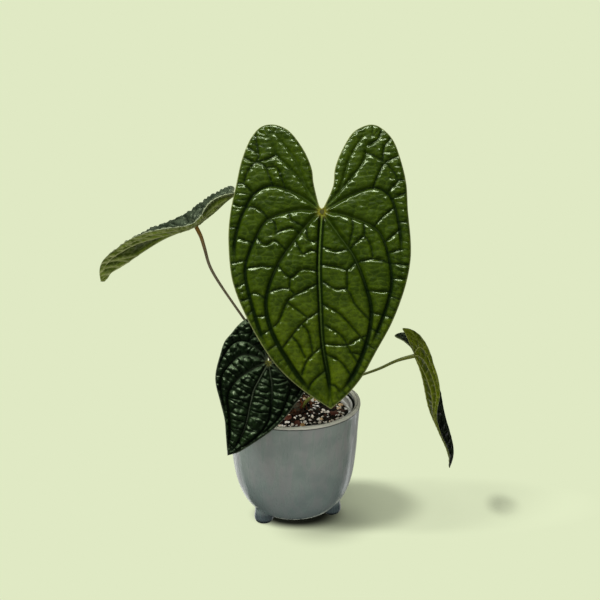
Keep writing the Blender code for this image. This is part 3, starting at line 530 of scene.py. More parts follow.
def blade_mesh(leaf, look, rand):
    """A fine closed blade: puffed cells between sunk veins on top, raised ribs underneath."""
    sides = [smooth_line(leaf.flat((0, -3, *side, *HEART_TIP)), leaf.step)
             for side in (HEART_LEFT, HEART_RIGHT)]
    loop = np.vstack([sides[0], sides[1][-2:0:-1]])
    edge = np.vstack([loop, loop[:1]])
    long_lines = []
    for line in LONG_VEINS:
        line = smooth_line(leaf.flat(line), leaf.step)
        gap, _ = nearest_line(line, [edge[::3]])
        long_lines.append(line[(gap > 1.2) & inside(line, loop)])
    if leaf.rung:
        short_lines = rungs(leaf, long_lines, loop, rand)
    else:
        short_lines = [smooth_line(leaf.flat(line), leaf.step) for line in SIDE_VEINS + CROSS_VEINS]
    flat, faces = flat_mesh(loop, long_lines, leaf.step)

    d_edge, _ = nearest_line(flat, [edge[::3]])
    d_short, _ = nearest_line(flat, [line[::2] if len(line) > 6 else line for line in short_lines])
    d_minor, _ = nearest_line(flat, edge_rungs(leaf, loop, long_lines, rand))
    ragged = grain(flat, 1.6 * leaf.puff_width, 1) * look.raggedness * leaf.puff_width
    bed, groove, halo, thin = (np.zeros(len(flat)) for _ in range(4))
    for line, size in zip(long_lines, VEIN_SIZES):
        away, share = nearest_line(flat, [line[::3] if len(line) > 12 else line])
        fade = size * np.clip((1 - share) / 0.15, 0, 1)
        wide = leaf.groove_width * (0.35 + 0.65 * size) * (1.1 - 0.6 * share)
        rim = np.maximum(away + 0.4 * ragged - 0.35 * wide, 0) / (leaf.puff_slope * (0.5 + 0.5 * size))
        bed = np.maximum(bed, np.clip(0.3 + fade, 0, 1) * ridge(rim, 1, 1.25))
        groove = np.maximum(groove, fade * ridge(away, wide))
        reach = leaf.width * (3.6 - 1.3 * share if size > 1.1 else 0.9 + 2.7 * share * size)
        halo = np.maximum(halo, fade * ridge(away, reach))
        bright = np.clip(1.1 - (1.3 if size > 1.1 else 2.6) * share, 0, 1) * (1.0 if size > 1.1 else 0.45)
        thin = np.maximum(thin, bright * ridge(away, 0.5))
    swell = 1 + look.unevenness * grain(flat, 6 * leaf.puff_width, 2)
    middle, cells = net(flat + 0.12 * leaf.dome_size * np.stack([grain(flat, 3, 8), grain(flat, 3, 9)], 1),
                        leaf.dome_size * look.net_size, 3)
    gap = np.maximum(d_short + ragged * np.clip(d_short / 2, 0, 1), 0)
    near_short = 0.12 + 0.88 * np.clip(gap / (1.3 * leaf.puff_width), 0, 1)
    near_minor = 1 - 0.5 * ridge(d_minor, 0.45 * leaf.puff_width, 1.3)
    to_edge = np.clip(d_edge / (leaf.edge_fall * leaf.puff_width), 0, 1) ** 0.7
    plateau = (1 - bed) * near_short * near_minor * to_edge
    ripple = 1 - 2 * np.abs(grain(flat * (0.45, 1.0), 1.5 * leaf.puff_width, 6))
    lift = leaf.puff * plateau * swell
    from_stalk = np.linalg.norm(flat, axis=1)
    high = leaf.dome * (1 + leaf.crowd * ridge(from_stalk, 60 * leaf.width))
    round_top = 1 - np.clip(middle / 0.8, 0, 1) ** leaf.peak
    lift += look.net_depth * high * (1 - bed) * to_edge * swell * round_top
    lift += look.ripple * leaf.puff * plateau * ripple
    lift -= leaf.groove * groove * to_edge
    lift -= 0.35 * leaf.groove * ridge(d_short, 0.45 * leaf.puff_width) * to_edge
    lift += 0.7 * grain(flat, 26 * leaf.width + 8, 5) * ridge(d_edge, 9, 1)
    thick = leaf.thickness * np.clip(0.45 + 0.55 * d_edge / 2.5, 0, 1)

    upper = at(leaf.world(flat, lift))
    facing = np.zeros_like(upper)
    for corner in range(3):
        np.add.at(facing, faces[:, corner], spans(upper, faces))
    facing /= np.maximum(np.linalg.norm(facing, axis=1), 1e-12)[:, None]
    under = at(leaf.world(flat, lift - thick))
    every, skin = shell(faces, len(flat))
    marks = {
        "groove": groove,
        "halo": halo,
        "thin_line": thin,
        "short_vein": ridge(d_short, 0.38 * leaf.puff_width),
        "minor_vein": ridge(d_minor, 0.25 * leaf.puff_width),
        "plateau": plateau,
        "net_wall": ridge(cells, 0.11) * (1 - bed),
        # how far each point faces up: the painted sheen of the low leaf follows it
        "skyward": facing[:, 2],
        "margin": ridge(d_edge, 0.6),
        "stalk_spot": ridge(from_stalk, 4.5 * leaf.width),
        "to_tip": np.clip(flat[:, 1] / (HEART_TIP[1] * leaf.tip), -0.6, 1),
    }
    marks = {key: np.concatenate([value, value]) for key, value in marks.items()}
    return mesh_of(leaf.node + "_skin", np.vstack([upper, under]), every, marks, skin)


def turned(profile, sides):
    """Rings of points round the pot's axis from a profile of (radius, height), and their faces.

    The profile runs up the inside and down the outside, from the axis back to it."""
    angle = np.linspace(0, 2 * math.pi, sides, endpoint=False)
    points = []
    rings = []
    for r, z in profile:
        if r < 1e-6:
            rings.append([len(points)] * sides)
            points.append((0, 0, z))
        else:
            rings.append(list(range(len(points), len(points) + sides)))
            points += [(r * math.sin(a), -r * math.cos(a), z) for a in angle]
    faces = []
    for one, two in zip(rings, rings[1:]):
        for k in range(sides):
            n = (k + 1) % sides
            corners = [one[k], one[n], two[n], two[k]]
            face = [c for j, c in enumerate(corners) if c != corners[j - 1]]
            if len(face) > 2:
                faces.append(face[::-1])
    return np.array(points, float), faces


def join_solids(thing, others):
    """Replace a solid by the union of itself and the others."""
    for other in others:
        step = thing.modifiers.new("union", "BOOLEAN")
        step.operation, step.solver, step.object = "UNION", "EXACT", other
    name = thing.name
    return show(name, smooth(final_mesh(thing, name, *others)), [])


def rounded(profile, step):
    """A turned profile with points close enough for smooth shading."""
    return [tuple(p) for p in smooth_line(profile, step)]


# Materials

def tint(red, green, blue):
    """A screen colour, each part 0 to 255, as a linear colour."""
    parts = [c / 255 for c in (red, green, blue)]
    return (*[c / 12.92 if c <= 0.04045 else ((c + 0.055) / 1.055) ** 2.4 for c in parts], 1.0)


class Value:
    """A node's output that adds Math nodes when it is used in sums."""

    def __init__(self, nodes, socket):
        self.nodes = nodes
        self.socket = socket

    def sum_up(self, operation, *terms):
        return self.nodes.add("ShaderNodeMath", {"operation": operation}, dict(enumerate(terms)))

    def __add__(self, other):
        return self.sum_up("ADD", self, other)

    def __sub__(self, other):
        return self.sum_up("SUBTRACT", self, other)

    def __rsub__(self, other):
        return self.sum_up("SUBTRACT", other, self)

    def __mul__(self, other):
        return self.sum_up("MULTIPLY", self, other)

    def __truediv__(self, other):
        return self.sum_up("DIVIDE", self, other)

    def __abs__(self):
        return self.sum_up("ABSOLUTE", self)

    __radd__, __rmul__ = __add__, __mul__

    def at_most(self, other):
        return self.sum_up("MINIMUM", self, other)

    def band(self, low, high):
        """0 below low, 1 above high, smooth between."""
        return self.nodes.add("ShaderNodeMapRange", {"interpolation_type": "SMOOTHSTEP"},
                              {"Value": self, "From Min": low, "From Max": high})

    def only(self, low, rise, fall, high):
        """1 between rise and fall, 0 below low and above high."""
        return self.band(low, rise) * (1 - self.band(fall, high))


class Nodes:
    """A node tree and the one way to add to it."""

    def __init__(self, tree):
        self.tree = tree

    def add(self, kind, settings=None, sockets=None, out=0):
        """Add a node of a type, its settings first, then the values or links of its sockets."""
        node = self.tree.nodes.new(kind)
        for key, value in (settings or {}).items():
            if key == "stops":
                ramp = node.color_ramp
                while len(ramp.elements) < len(value):
                    ramp.elements.new(0.5)
                for element, (spot, *colour) in zip(ramp.elements, value):
                    element.position, element.color = spot, tint(*colour)
            else:
                setattr(node, key, value)
        for key, value in (sockets or {}).items():
            self.feed(node.inputs[key], value)
        return Value(self, node.outputs[out]) if node.outputs else None

    def feed(self, socket, value):
        """Link a value to a socket, or set it."""
        if isinstance(value, Value):
            self.tree.links.new(value.socket, socket)
        else:
            socket.default_value = value

    def vector(self, operation, *terms, out=0):
        """One step of vector maths."""
        return self.add("ShaderNodeVectorMath", {"operation": operation}, dict(enumerate(terms)), out)


class Finish(Nodes):
    """A material that is laid on in coats of colour, each over the last."""

    def __init__(self, name, colour=(0, 0, 0)):
        self.material = bpy.data.materials.new(name)
        self.material.use_nodes = True
        super().__init__(self.material.node_tree)
        self.shader = self.tree.nodes["Principled BSDF"]
        self.colour = self.screen(colour)

    def screen(self, colour):
        """A colour as the nodes take it: three numbers are a screen colour."""
        return colour if isinstance(colour, Value) else tint(*colour) if len(colour) == 3 else tuple(colour)

    def mix(self, share, one, two):
        """Colour one where share is 0 and two where it is 1."""
        return self.add("ShaderNodeMix", {"data_type": "RGBA"},
                        {0: share, 6: self.screen(one), 7: self.screen(two)}, 2)

    def over(self, share, colour):
        """Lay a colour over the last as far as share says."""
        self.colour = self.mix(share, self.colour, colour)

    def mark(self, name):
        """A value stored on the mesh."""
        return self.add("ShaderNodeAttribute", {"attribute_name": name}, out=2)

    def place(self, *scale):
        """Where the point is, in mm from the pot's axis, stretched by scale."""
        shift = self.vector("SUBTRACT", self.add("ShaderNodeTexCoord", out=3), tuple(AXIS))
        return self.vector("MULTIPLY", shift, tuple(1000 * s for s in scale or (1, 1, 1)))

    def height(self):
        """Height of the point in mm."""
        return self.add("ShaderNodeSeparateXYZ", None, {0: self.place()}, 2)

    def reach(self):
        """Distance of the point from the pot's axis in mm."""
        return self.vector("LENGTH", self.place(1, 1, 0), out=1)

    def noise(self, where, size, detail=2.0, rough=0.5, warp=0.0):
        """Soft noise from 0 to 1 with lumps of about size mm."""
        return self.add("ShaderNodeTexNoise", None, {"Vector": where, "Scale": 1 / size, "Detail": detail,
                                                     "Roughness": rough, "Distortion": warp})

    def done(self, rough, height, depth, coat=0.0, **fixed):
        """Feed the shader, bumped by a height from 0 to 1 that stands for depth mm."""
        bump = self.add("ShaderNodeBump", None, {"Height": height, "Distance": depth * MM, "Strength": 1.0})
        for key, value in (("Base Color", self.colour), ("Roughness", rough), ("Coat Weight", coat),
                           ("Normal", bump)):
            self.feed(self.shader.inputs[key], value)
        for key, value in fixed.items():
            self.shader.inputs[key.replace("_", " ").title().replace("Ior", "IOR")].default_value = value
        return self.material


def new_tree(name, *inputs):
    """A tree of geometry nodes, and what comes in by each named input."""
    g = Nodes(bpy.data.node_groups.new(name, "GeometryNodeTree"))
    for key, kind, usual in (("Geometry", "Geometry", None), *inputs, ("Finish", "Material", None)):
        socket = g.tree.interface.new_socket(key, in_out="INPUT", socket_type="NodeSocket" + kind)
        if usual is not None:
            socket.default_value = usual
    g.tree.interface.new_socket("Geometry", in_out="OUTPUT", socket_type="NodeSocketGeometry")
    into = g.tree.nodes.new("NodeGroupInput")
    return g, {socket.name: Value(g, socket) for socket in into.outputs if socket.name}


def end_tree(g, shape, finish):
    """Close a tree with realised instances in a material."""
    real = g.add("GeometryNodeRealizeInstances", None, {"Geometry": shape})
    paint = g.add("GeometryNodeSetMaterial", None, {"Geometry": real, "Material": finish})
    g.add("NodeGroupOutput", None, {"Geometry": paint})
    return g.tree


def plain(thing, tree, values, name):
    """Run a tree of geometry nodes on an object and keep its result as a plain mesh."""
    step = thing.modifiers.new("nodes", "NODES")
    step.node_group = tree
    for item in tree.interface.items_tree:
        if item.item_type == "SOCKET" and item.in_out == "INPUT" and item.name in values:
            step[item.identifier] = values[item.name]
    return show(name, final_mesh(thing, name), [])


# What a user may change

def factor(name, text, usual, most=1.0):
    """A share that a user may change."""
    return bpy.props.FloatProperty(name=name, description=text, default=usual, min=0, max=most,
                                   subtype="FACTOR")


def swatch(name, text, *usual):
    """A colour that a user may change, given as a screen colour."""
    return bpy.props.FloatVectorProperty(name=name, description=text, default=tint(*usual), size=4,
                                         subtype="COLOR")


def number(name, text, usual, most, least=0):
    """A whole number that a user may change."""
    return bpy.props.IntProperty(name=name, description=text, default=usual, min=least, max=most)


class LeafLook(bpy.types.PropertyGroup):
    """Relief and colour of the blades."""

    unevenness: factor("Unevenness", "How much the puffed cells differ in height", 0.22)
    raggedness: factor("Raggedness", "How ragged the rims of the puffs are", 0.4)
    ripple: factor("Ripple", "Height of the cross ripples against the puffs", 0.2)
    net_size: factor("Net size", "Size of the small domes against each blade's own", 1.0, 4.0)
    net_depth: factor("Net depth", "Height of the small domes against each blade's own", 1.0, 3.0)
    olive: swatch("Front leaf", "Main colour of the front leaf", 52, 71, 0)
    dark: swatch("Low leaf", "Main colour of the low leaf", 20, 36, 13)


class PotLook(bpy.types.PropertyGroup):
    """Colours and fineness of the pots."""

    glaze: swatch("Glaze", "Main colour of the glaze", 157, 168, 157)
    lip: swatch("Lip", "Colour where the glaze thins over the rim", 228, 228, 206)
    plastic: swatch("Grower's pot", "Colour of the inner pot", 236, 237, 226)
    sides: number("Sides", "Points round each pot", 320, 720, 48)


class MixLook(bpy.types.PropertyGroup):
    """What lies on the potting mix."""

    perlite: number("Perlite", "Grains of perlite to the square decimetre", 370, 3000)
    bark: number("Bark", "Pieces of bark to the square decimetre", 24, 3000)
    crumbs: number("Crumbs", "Crumbs to the square decimetre", 2400, 9000)
    seed: number("Seed", "Which random layout is used", 4, 1000)


class StageLook(bpy.types.PropertyGroup):
    """Floor, light and camera."""

    floor: swatch("Floor", "Colour of the floor and backdrop", 224, 233, 196)
    sun: bpy.props.FloatProperty(name="Key light", description="Strength of the key light", default=1.9,
                                 min=0)
    sky: bpy.props.FloatProperty(name="Fill light", description="Strength of the light from all round",
                                 default=0.3, min=0)
    lens: bpy.props.FloatProperty(name="Lens", description="Focal length in mm", default=66.0, min=10)


# Makers

def leaf_upper(name, base, deep, vein, tip, line, edge, coat, blur, bump, web, painted_sheen=None):
    """Upper face of a blade: mottled cells, sunk veins darkened by painted shade, thin pale lines near the
    stalk.

    The painted sheen is a paler colour on the sides of the puffs that face up, where light from above would
    shine."""
    f = Finish(name, base)
    where = f.place()
    mottle = f.noise(where, 16, 3, 0.6).band(0.38, 0.64)
    f.over(f.mark("to_tip").band(0.25, 0.85), tip)
    f.over(mottle * 0.7, deep)
    # Painted shade: darker where the surface sinks towards the veins and the margin
    f.over((1 - f.mark("plateau")).band(0.15, 0.85) * 0.5, deep)
    f.over(f.noise(where, 2.6, 4, 0.7).band(0.42, 0.72) * 0.45, deep)
    # Painted sheen: a paler colour on the sides of the puffs that face up
    if painted_sheen:
        f.over(f.mark("skyward").band(0.45, 0.92) * (0.55 + 0.45 * mottle), painted_sheen)
    # The fine net: a paler colour of its own on the front and right leaves, painted shade in the valleys
    # between the domes on the low and left leaves
    f.over(f.mark("net_wall") * 0.5, web)
    # Painted shade of the sunk veins: dark lines on the fine and short veins, dark bands beside the long
    # ones
    f.over(f.mark("minor_vein") * 0.5, vein)
    f.over(f.mark("short_vein") * 0.85, vein)
    f.over(f.mark("halo").band(0.25, 0.8) * 0.88, vein)
    f.over(f.mark("thin_line").at_most(0.95), line)
    f.over(f.mark("margin") * 0.85, edge)
    f.over(f.mark("stalk_spot") * 0.9, (150, 144, 40))
    creases = f.noise(f.place(0.45, 1, 0.8), 3.2, 3, 0.6)
    tiny = f.noise(where, 1.2, 2, 0.6) * 0.35 + (1 - abs(creases - 0.5) * 4) * 0.65
    shine = (1 - f.mark("halo").band(0.1, 0.8)) * (1 - f.mark("short_vein") * 0.7) * coat
    return f.done(f.noise(where, 5, 2) * 0.2 + 0.42, tiny, bump, shine, specular_ior_level=0.1,
                  coat_roughness=blur)


def leaf_under(name, base, deep, rib, web=1.0):
    """Underside of a blade: duller, with pale raised ribs and painted shade in the hollows between them."""
    f = Finish(name, base)
    where = f.place()
    f.over(f.noise(where, 12, 3, 0.6).band(0.35, 0.65) * 0.6, deep)
    # Painted shade: darker where the cells, puffed up on top, leave hollows underneath
    f.over(f.mark("plateau").band(0.35, 0.9) * 0.7, deep)
    f.over(f.noise(where, 1.8, 3, 0.65).band(0.4, 0.8) * 0.3, deep)
    f.over(f.mark("net_wall") * 0.2 * web, rib)
    f.over((f.mark("short_vein") * 0.6 + f.mark("minor_vein") * 0.5).at_most(0.8) * web, rib)
    f.over(f.mark("groove").band(0.3, 0.9) * 0.85, rib)
    f.over(f.mark("margin") * 0.6, rib)
    return f.done(f.noise(where, 4, 2) * 0.15 + 0.42, f.noise(where, 1.0, 2, 0.6), 0.12, 0.05,
                  specular_ior_level=0.15, coat_roughness=0.3)


class PLANT_OT_blades(bpy.types.Operator):
    """Make the blades of the leaves"""

    bl_idname = "plant.blades"
    bl_label = "Blades"

    def execute(self, context):
        look = context.scene.leaf_look
        rand = random.Random(11)
        # Colours for leaf_upper in its order. The left leaf's upper face is greyed by painted reflection,
        # as a glossy face seen edge-on looks, and the last colour of the low leaf is its painted sheen.
        upper = {
            "blade_front": (look.olive, (29, 47, 0), (7, 22, 4), (74, 91, 0), (96, 122, 40),
                            (166, 174, 108), 0.8, 0.15, 0.26, (76, 96, 4)),
            "blade_low": (look.dark, (10, 18, 7), (4, 8, 4), (34, 54, 24), (98, 112, 84), (104, 116, 88),
                          1.0, 0.36, 0.2, (6, 12, 5), (80, 100, 68)),
            "blade_left": ((76, 88, 66), (34, 44, 28), (22, 30, 20), (70, 80, 54), (124, 134, 100),
                           (150, 158, 120), 0.3, 0.3, 0.25, (34, 44, 28)),
            "blade_right": ((14, 22, 10), (6, 10, 4), (44, 54, 34), (14, 22, 8), (70, 84, 40),
                            (120, 130, 80), 0.12, 0.2, 0.3, (70, 84, 56)),
        }
        under = {
            "blade_front": ((96, 108, 48), (74, 86, 34), (140, 150, 96)),
            "blade_low": ((82, 96, 44), (62, 76, 32), (124, 136, 84)),
            "blade_left": ((128, 148, 44), (44, 60, 8), (196, 204, 136)),
            "blade_right": ((116, 132, 4), (74, 90, 0), (204, 210, 120), 0.25),
        }
        for leaf in LEAVES:
            skins = [leaf_upper(leaf.node + "_upper", *upper[leaf.node]),
                     leaf_under(leaf.node + "_under", *under[leaf.node])]
            settle(show(leaf.node + "_skin", blade_mesh(leaf, look, rand), skins), leaf.node)
        return {"FINISHED"}


def stalk_route(leaf, route, behind):
    """The route of a stalk, run on into the back of its blade."""
    turn, end = leaf.world(np.zeros((2, 2)), np.array([-leaf.thickness - behind, -leaf.thickness * 0.5]))
    return smooth_line((*route, tuple(turn), tuple(end)) if behind else (*route, tuple(end)), 2.0)


def stalk_tree():
    """Geometry nodes that sweep a ring along a curve and store how far along each point is."""
    g, given = new_tree("stalk_sweep", ("Sides", "Int", 20))
    share = g.add("GeometryNodeSplineParameter")
    keep = g.add("GeometryNodeStoreNamedAttribute", {"domain": "POINT"},
                 {"Name": "along", "Geometry": given["Geometry"], "Value": share})
    ring = g.add("GeometryNodeCurvePrimitiveCircle", None, {"Radius": MM, "Resolution": given["Sides"]})
    sweep = g.add("GeometryNodeCurveToMesh", None, {"Curve": keep, "Profile Curve": ring, "Fill Caps": True,
                                                    "Scale": g.add("GeometryNodeInputRadius")})
    return end_tree(g, sweep, given["Finish"])


def swept(name, line, radius, tree, sides, finish):
    """A round rod along a line, with its own radius in mm at each point."""
    curve = bpy.data.curves.new(name, "CURVE")
    curve.dimensions = "3D"
    spline = curve.splines.new("POLY")
    spline.points.add(len(line) - 1)
    for point, spot, size in zip(spline.points, at(line), radius):
        point.co = (*spot, 1)
        point.radius = size
    source = add_to_scene(bpy.data.objects.new(name + "_line", curve))
    thing = plain(source, tree, {"Sides": sides, "Finish": finish}, name)
    smooth(thing.data)
    return thing


class PLANT_OT_stalks(bpy.types.Operator):
    """Make the leaf stalks"""

    bl_idname = "plant.stalks"
    bl_label = "Stalks"

    def finish_of(self, name, low, high, dark):
        """Stalk skin that changes colour from its foot to its blade."""
        f = Finish(name, low)
        streak = f.noise(f.place(1, 1, 0.12), 1.2, 3, 0.6)
        along = f.mark("along")
        f.over(along.band(0.82, 0.99), high)
        f.over(streak.band(0.4, 0.75) * 0.5, dark)
        f.over((1 - along).band(0.9, 0.98) * 0.6, (70, 52, 30))
        return f.done(f.noise(f.place(), 6, 2) * 0.2 + 0.32, streak, 0.12, specular_ior_level=0.5)

    def execute(self, context):
        colours = {
            "petiole_front": ((58, 48, 24), (84, 84, 30), (34, 28, 14)),
            "petiole_left": ((140, 130, 98), (150, 112, 34), (90, 82, 58)),
            "petiole_low": ((66, 62, 30), (74, 80, 34), (38, 36, 18)),
            "petiole_right": ((118, 126, 48), (132, 140, 48), (74, 84, 26)),
        }
        tree = stalk_tree()
        leaves = {leaf.node: leaf for leaf in LEAVES}
        for node, blade, route, slot, behind in STALKS:
            line = stalk_route(leaves[blade], route, behind)
            radius = np.interp(np.linspace(0, 1, len(line)), STALK_RADIUS[::2], STALK_RADIUS[1::2])
            radius *= 1 + 0.03 * np.array([noise.noise((k * 0.35, 3.1, 0)) for k in range(len(line))])
            skin = self.finish_of(node + "_skin", *colours[node])
            settle(swept(node + "_skin", line, radius, tree, 20, skin), node)
        return {"FINISHED"}


class PLANT_OT_ceramic_pot(bpy.types.Operator):
    """Make the glazed outer pot on its feet"""

    bl_idname = "plant.ceramic_pot"
    bl_label = "Ceramic pot"

    def finish_of(self, look):
        """Mottled grey glaze that runs thin and pale over the lip."""
        f = Finish("glaze_skin", look.glaze)
        where, height, reach = f.place(), f.height(), f.reach()
        streaks = f.noise(f.place(1, 1, 0.16), 9, 4, 0.6, 0.4)
        f.over(streaks.band(0.4, 0.62) * 0.6, (164, 161, 157))
        f.over(f.noise(where, 26, 4, 0.6).band(0.42, 0.66) * 0.55, (132, 147, 138))
        f.over((1 - height / 105).band(0.05, 0.95) * 0.5, (98, 120, 119))
        f.over(f.noise(where, 0.9, 2, 0.7).band(0.6, 0.8) * 0.2, (184, 188, 178))
        edge = height + f.noise(f.place(1, 1, 0.4), 16, 2) * 1.6
        f.over(edge.band(125.5, 126.3) * 0.75, (52, 52, 46))
        f.over(edge.band(126.8, 127.5), look.lip)
        ring = reach + f.noise(f.place(1, 1, 0.4), 11, 2) * 1.8
        f.over(ring.only(66.6, 67.3, 67.7, 68.4) * height.band(126.5, 127.5) * 0.55, (112, 112, 98))
        f.over((1 - height / 16).band(0.0, 0.45) * reach.band(30, 31) * 0.7, (44, 58, 66))
        # Painted shade: near black at the very bottom, where the feet and the base meet the floor
        f.over((1 - height / 7).band(0.15, 0.8) * 0.95, (8, 12, 14))
        # Painted shade: near black on the inner wall, in the gap round the grower's pot
        f.over((1 - reach.band(64.4, 64.9)) * height.only(88, 96, 123.0, 124.0), (8, 8, 7))
        rough = f.noise(where, 9, 3) * 0.14 + streaks.band(0.4, 0.6) * 0.16 + 0.14
        return f.done(rough, f.noise(where, 6, 2) * 0.7 + f.noise(where, 1.2, 2) * 0.3, 0.16,
                      specular_ior_level=0.6)

    def foot(self, ring, turn):
        """A stubby round foot that tucks in under the wall."""
        points, faces = turned(rounded(FOOT, 0.8), 56)
        a = math.radians(turn)
        points[:, :2] += (ring * math.sin(a), -ring * math.cos(a))
        reach = np.hypot(points[:, 0], points[:, 1])
        points[:, 2] = np.minimum(points[:, 2], 11.4 + 0.75 * (reach - 36))
        return show("foot", mesh_of("foot", at(points), faces), [])

    def execute(self, context):
        look = context.scene.pot_look
        profile = rounded(POT_INNER, 2.5) + rounded((POT_INNER[-1], *POT_RIM, POT_OUTER[0]), 0.5)[1:-1]
        profile += rounded(POT_OUTER, 1.1)
        profile[0] = (0, POT_INNER[0][1])
        profile[-1] = (0, POT_OUTER[-1][1])
        points, faces = turned(profile, look.sides)
        for k, (x, y, z) in enumerate(points):
            sag = noise.noise((x / 30, y / 30, 2.0)) * 1.1 * min(max((z - 115) / 10, 0), 1)
            points[k, 2] += sag
            points[k, :2] *= 1 + 0.004 * noise.noise((x / 24, y / 24, z / 30))
        thing = show("ceramic_pot_skin", mesh_of("ceramic_pot_skin", at(points), faces), [])
        thing = join_solids(thing, [self.foot(*spot) for spot in FOOT_SPOTS])
        thing.data.materials.clear()
        thing.data.materials.append(self.finish_of(look))
        settle(thing, "ceramic_pot")
        return {"FINISHED"}


class PLANT_OT_nursery_pot(bpy.types.Operator):
    """Make the grower's pot inside the ceramic one"""

    bl_idname = "plant.nursery_pot"
    bl_label = "Grower's pot"

    def execute(self, context):
        look = context.scene.pot_look
        points, faces = turned(NURSERY_WALL, look.sides // 2)
        f = Finish("plastic_skin", look.plastic)
        dust = f.noise(f.place(), 7, 4, 0.65).band(0.45, 0.7)
        f.over(dust * 0.3, (136, 134, 124))
        f.over((1 - f.height() / 117).band(0.0, 0.03) * 0.45, (66, 60, 50))
        # Painted shade: a dark ring in the step of the collar
        f.over(f.reach().only(58.8, 59.1, 59.3, 59.6) * 0.6, (88, 88, 82))
        skin = f.done(dust * 0.15 + 0.42, f.noise(f.place(0.2, 0.2, 3.0), 2.0, 2), 0.06)
        thing = show("nursery_pot_skin", mesh_of("nursery_pot_skin", at(points), faces), [skin])
        soft = thing.modifiers.new("Edges", "BEVEL")
        soft.width, soft.segments, soft.limit_method = 0.25 * MM, 2, "ANGLE"
        settle(thing, "nursery_pot")
        return {"FINISHED"}


def scatter_tree():
    """Geometry nodes that strew rough grains over a surface."""
    g, given = new_tree("strewn_grains", ("Density", "Float", 100.0), ("Small", "Float", 0.001),
                        ("Large", "Float", 0.003), ("Flatness", "Float", 0.6), ("Length", "Float", 1.4),
                        ("Roughness", "Float", 0.3), ("Detail", "Int", 2), ("Seed", "Int", 1))
    spots = g.add("GeometryNodeDistributePointsOnFaces", {"distribute_method": "RANDOM"},
                  {"Mesh": given["Geometry"], "Density": given["Density"], "Seed": given["Seed"]})
    stone = g.add("GeometryNodeMeshIcoSphere", None, {"Radius": 0.5, "Subdivisions": given["Detail"]})
    shape = g.add("ShaderNodeCombineXYZ", None, {"X": given["Length"], "Y": 1.0, "Z": given["Flatness"]})
    form = g.add("GeometryNodeTransform", None, {"Geometry": stone, "Scale": shape})
    size = g.add("FunctionNodeRandomValue", {"data_type": "FLOAT"},
                 {2: given["Small"], 3: given["Large"], "Seed": given["Seed"]}, 1)
    turn = g.add("FunctionNodeRandomValue", {"data_type": "FLOAT_VECTOR"},
                 {0: (-0.7, -0.7, 0.0), 1: (0.7, 0.7, 6.283)})
    place = g.add("GeometryNodeInstanceOnPoints", None,
                  {"Points": spots, "Instance": form, "Rotation": turn, "Scale": size})
    tone = g.add("FunctionNodeRandomValue", {"data_type": "FLOAT"}, out=1)
    keep = g.add("GeometryNodeStoreNamedAttribute", {"domain": "INSTANCE"},
                 {"Name": "tone", "Geometry": place, "Value": tone})
    real = g.add("GeometryNodeRealizeInstances", None, {"Geometry": keep})
    rough = g.add("ShaderNodeTexNoise", None,
                  {"Detail": 1.0, "Scale": 600.0, "Vector": g.add("GeometryNodeInputPosition")}, 1)
    both_ways = g.vector("SUBTRACT", rough, (0.5, 0.5, 0.5))
    push = g.add("ShaderNodeVectorMath", {"operation": "SCALE"},
                 {0: both_ways, "Scale": given["Roughness"] * given["Large"]})
    move = g.add("GeometryNodeSetPosition", None, {"Geometry": real, "Offset": push})
    return end_tree(g, move, given["Finish"])


def mix_height(x, y):
    """Height of the lumpy top of the mix, in mm."""
    lumps = noise.noise((x / 9, y / 9, 0.3)) * 2.0 + noise.noise((x / 3.2, y / 3.2, 4.7)) * 0.9
    mound = 3.0 * math.exp(-(x * x + y * y) / 420)
    return MIX_TOP + lumps + mound - 0.6


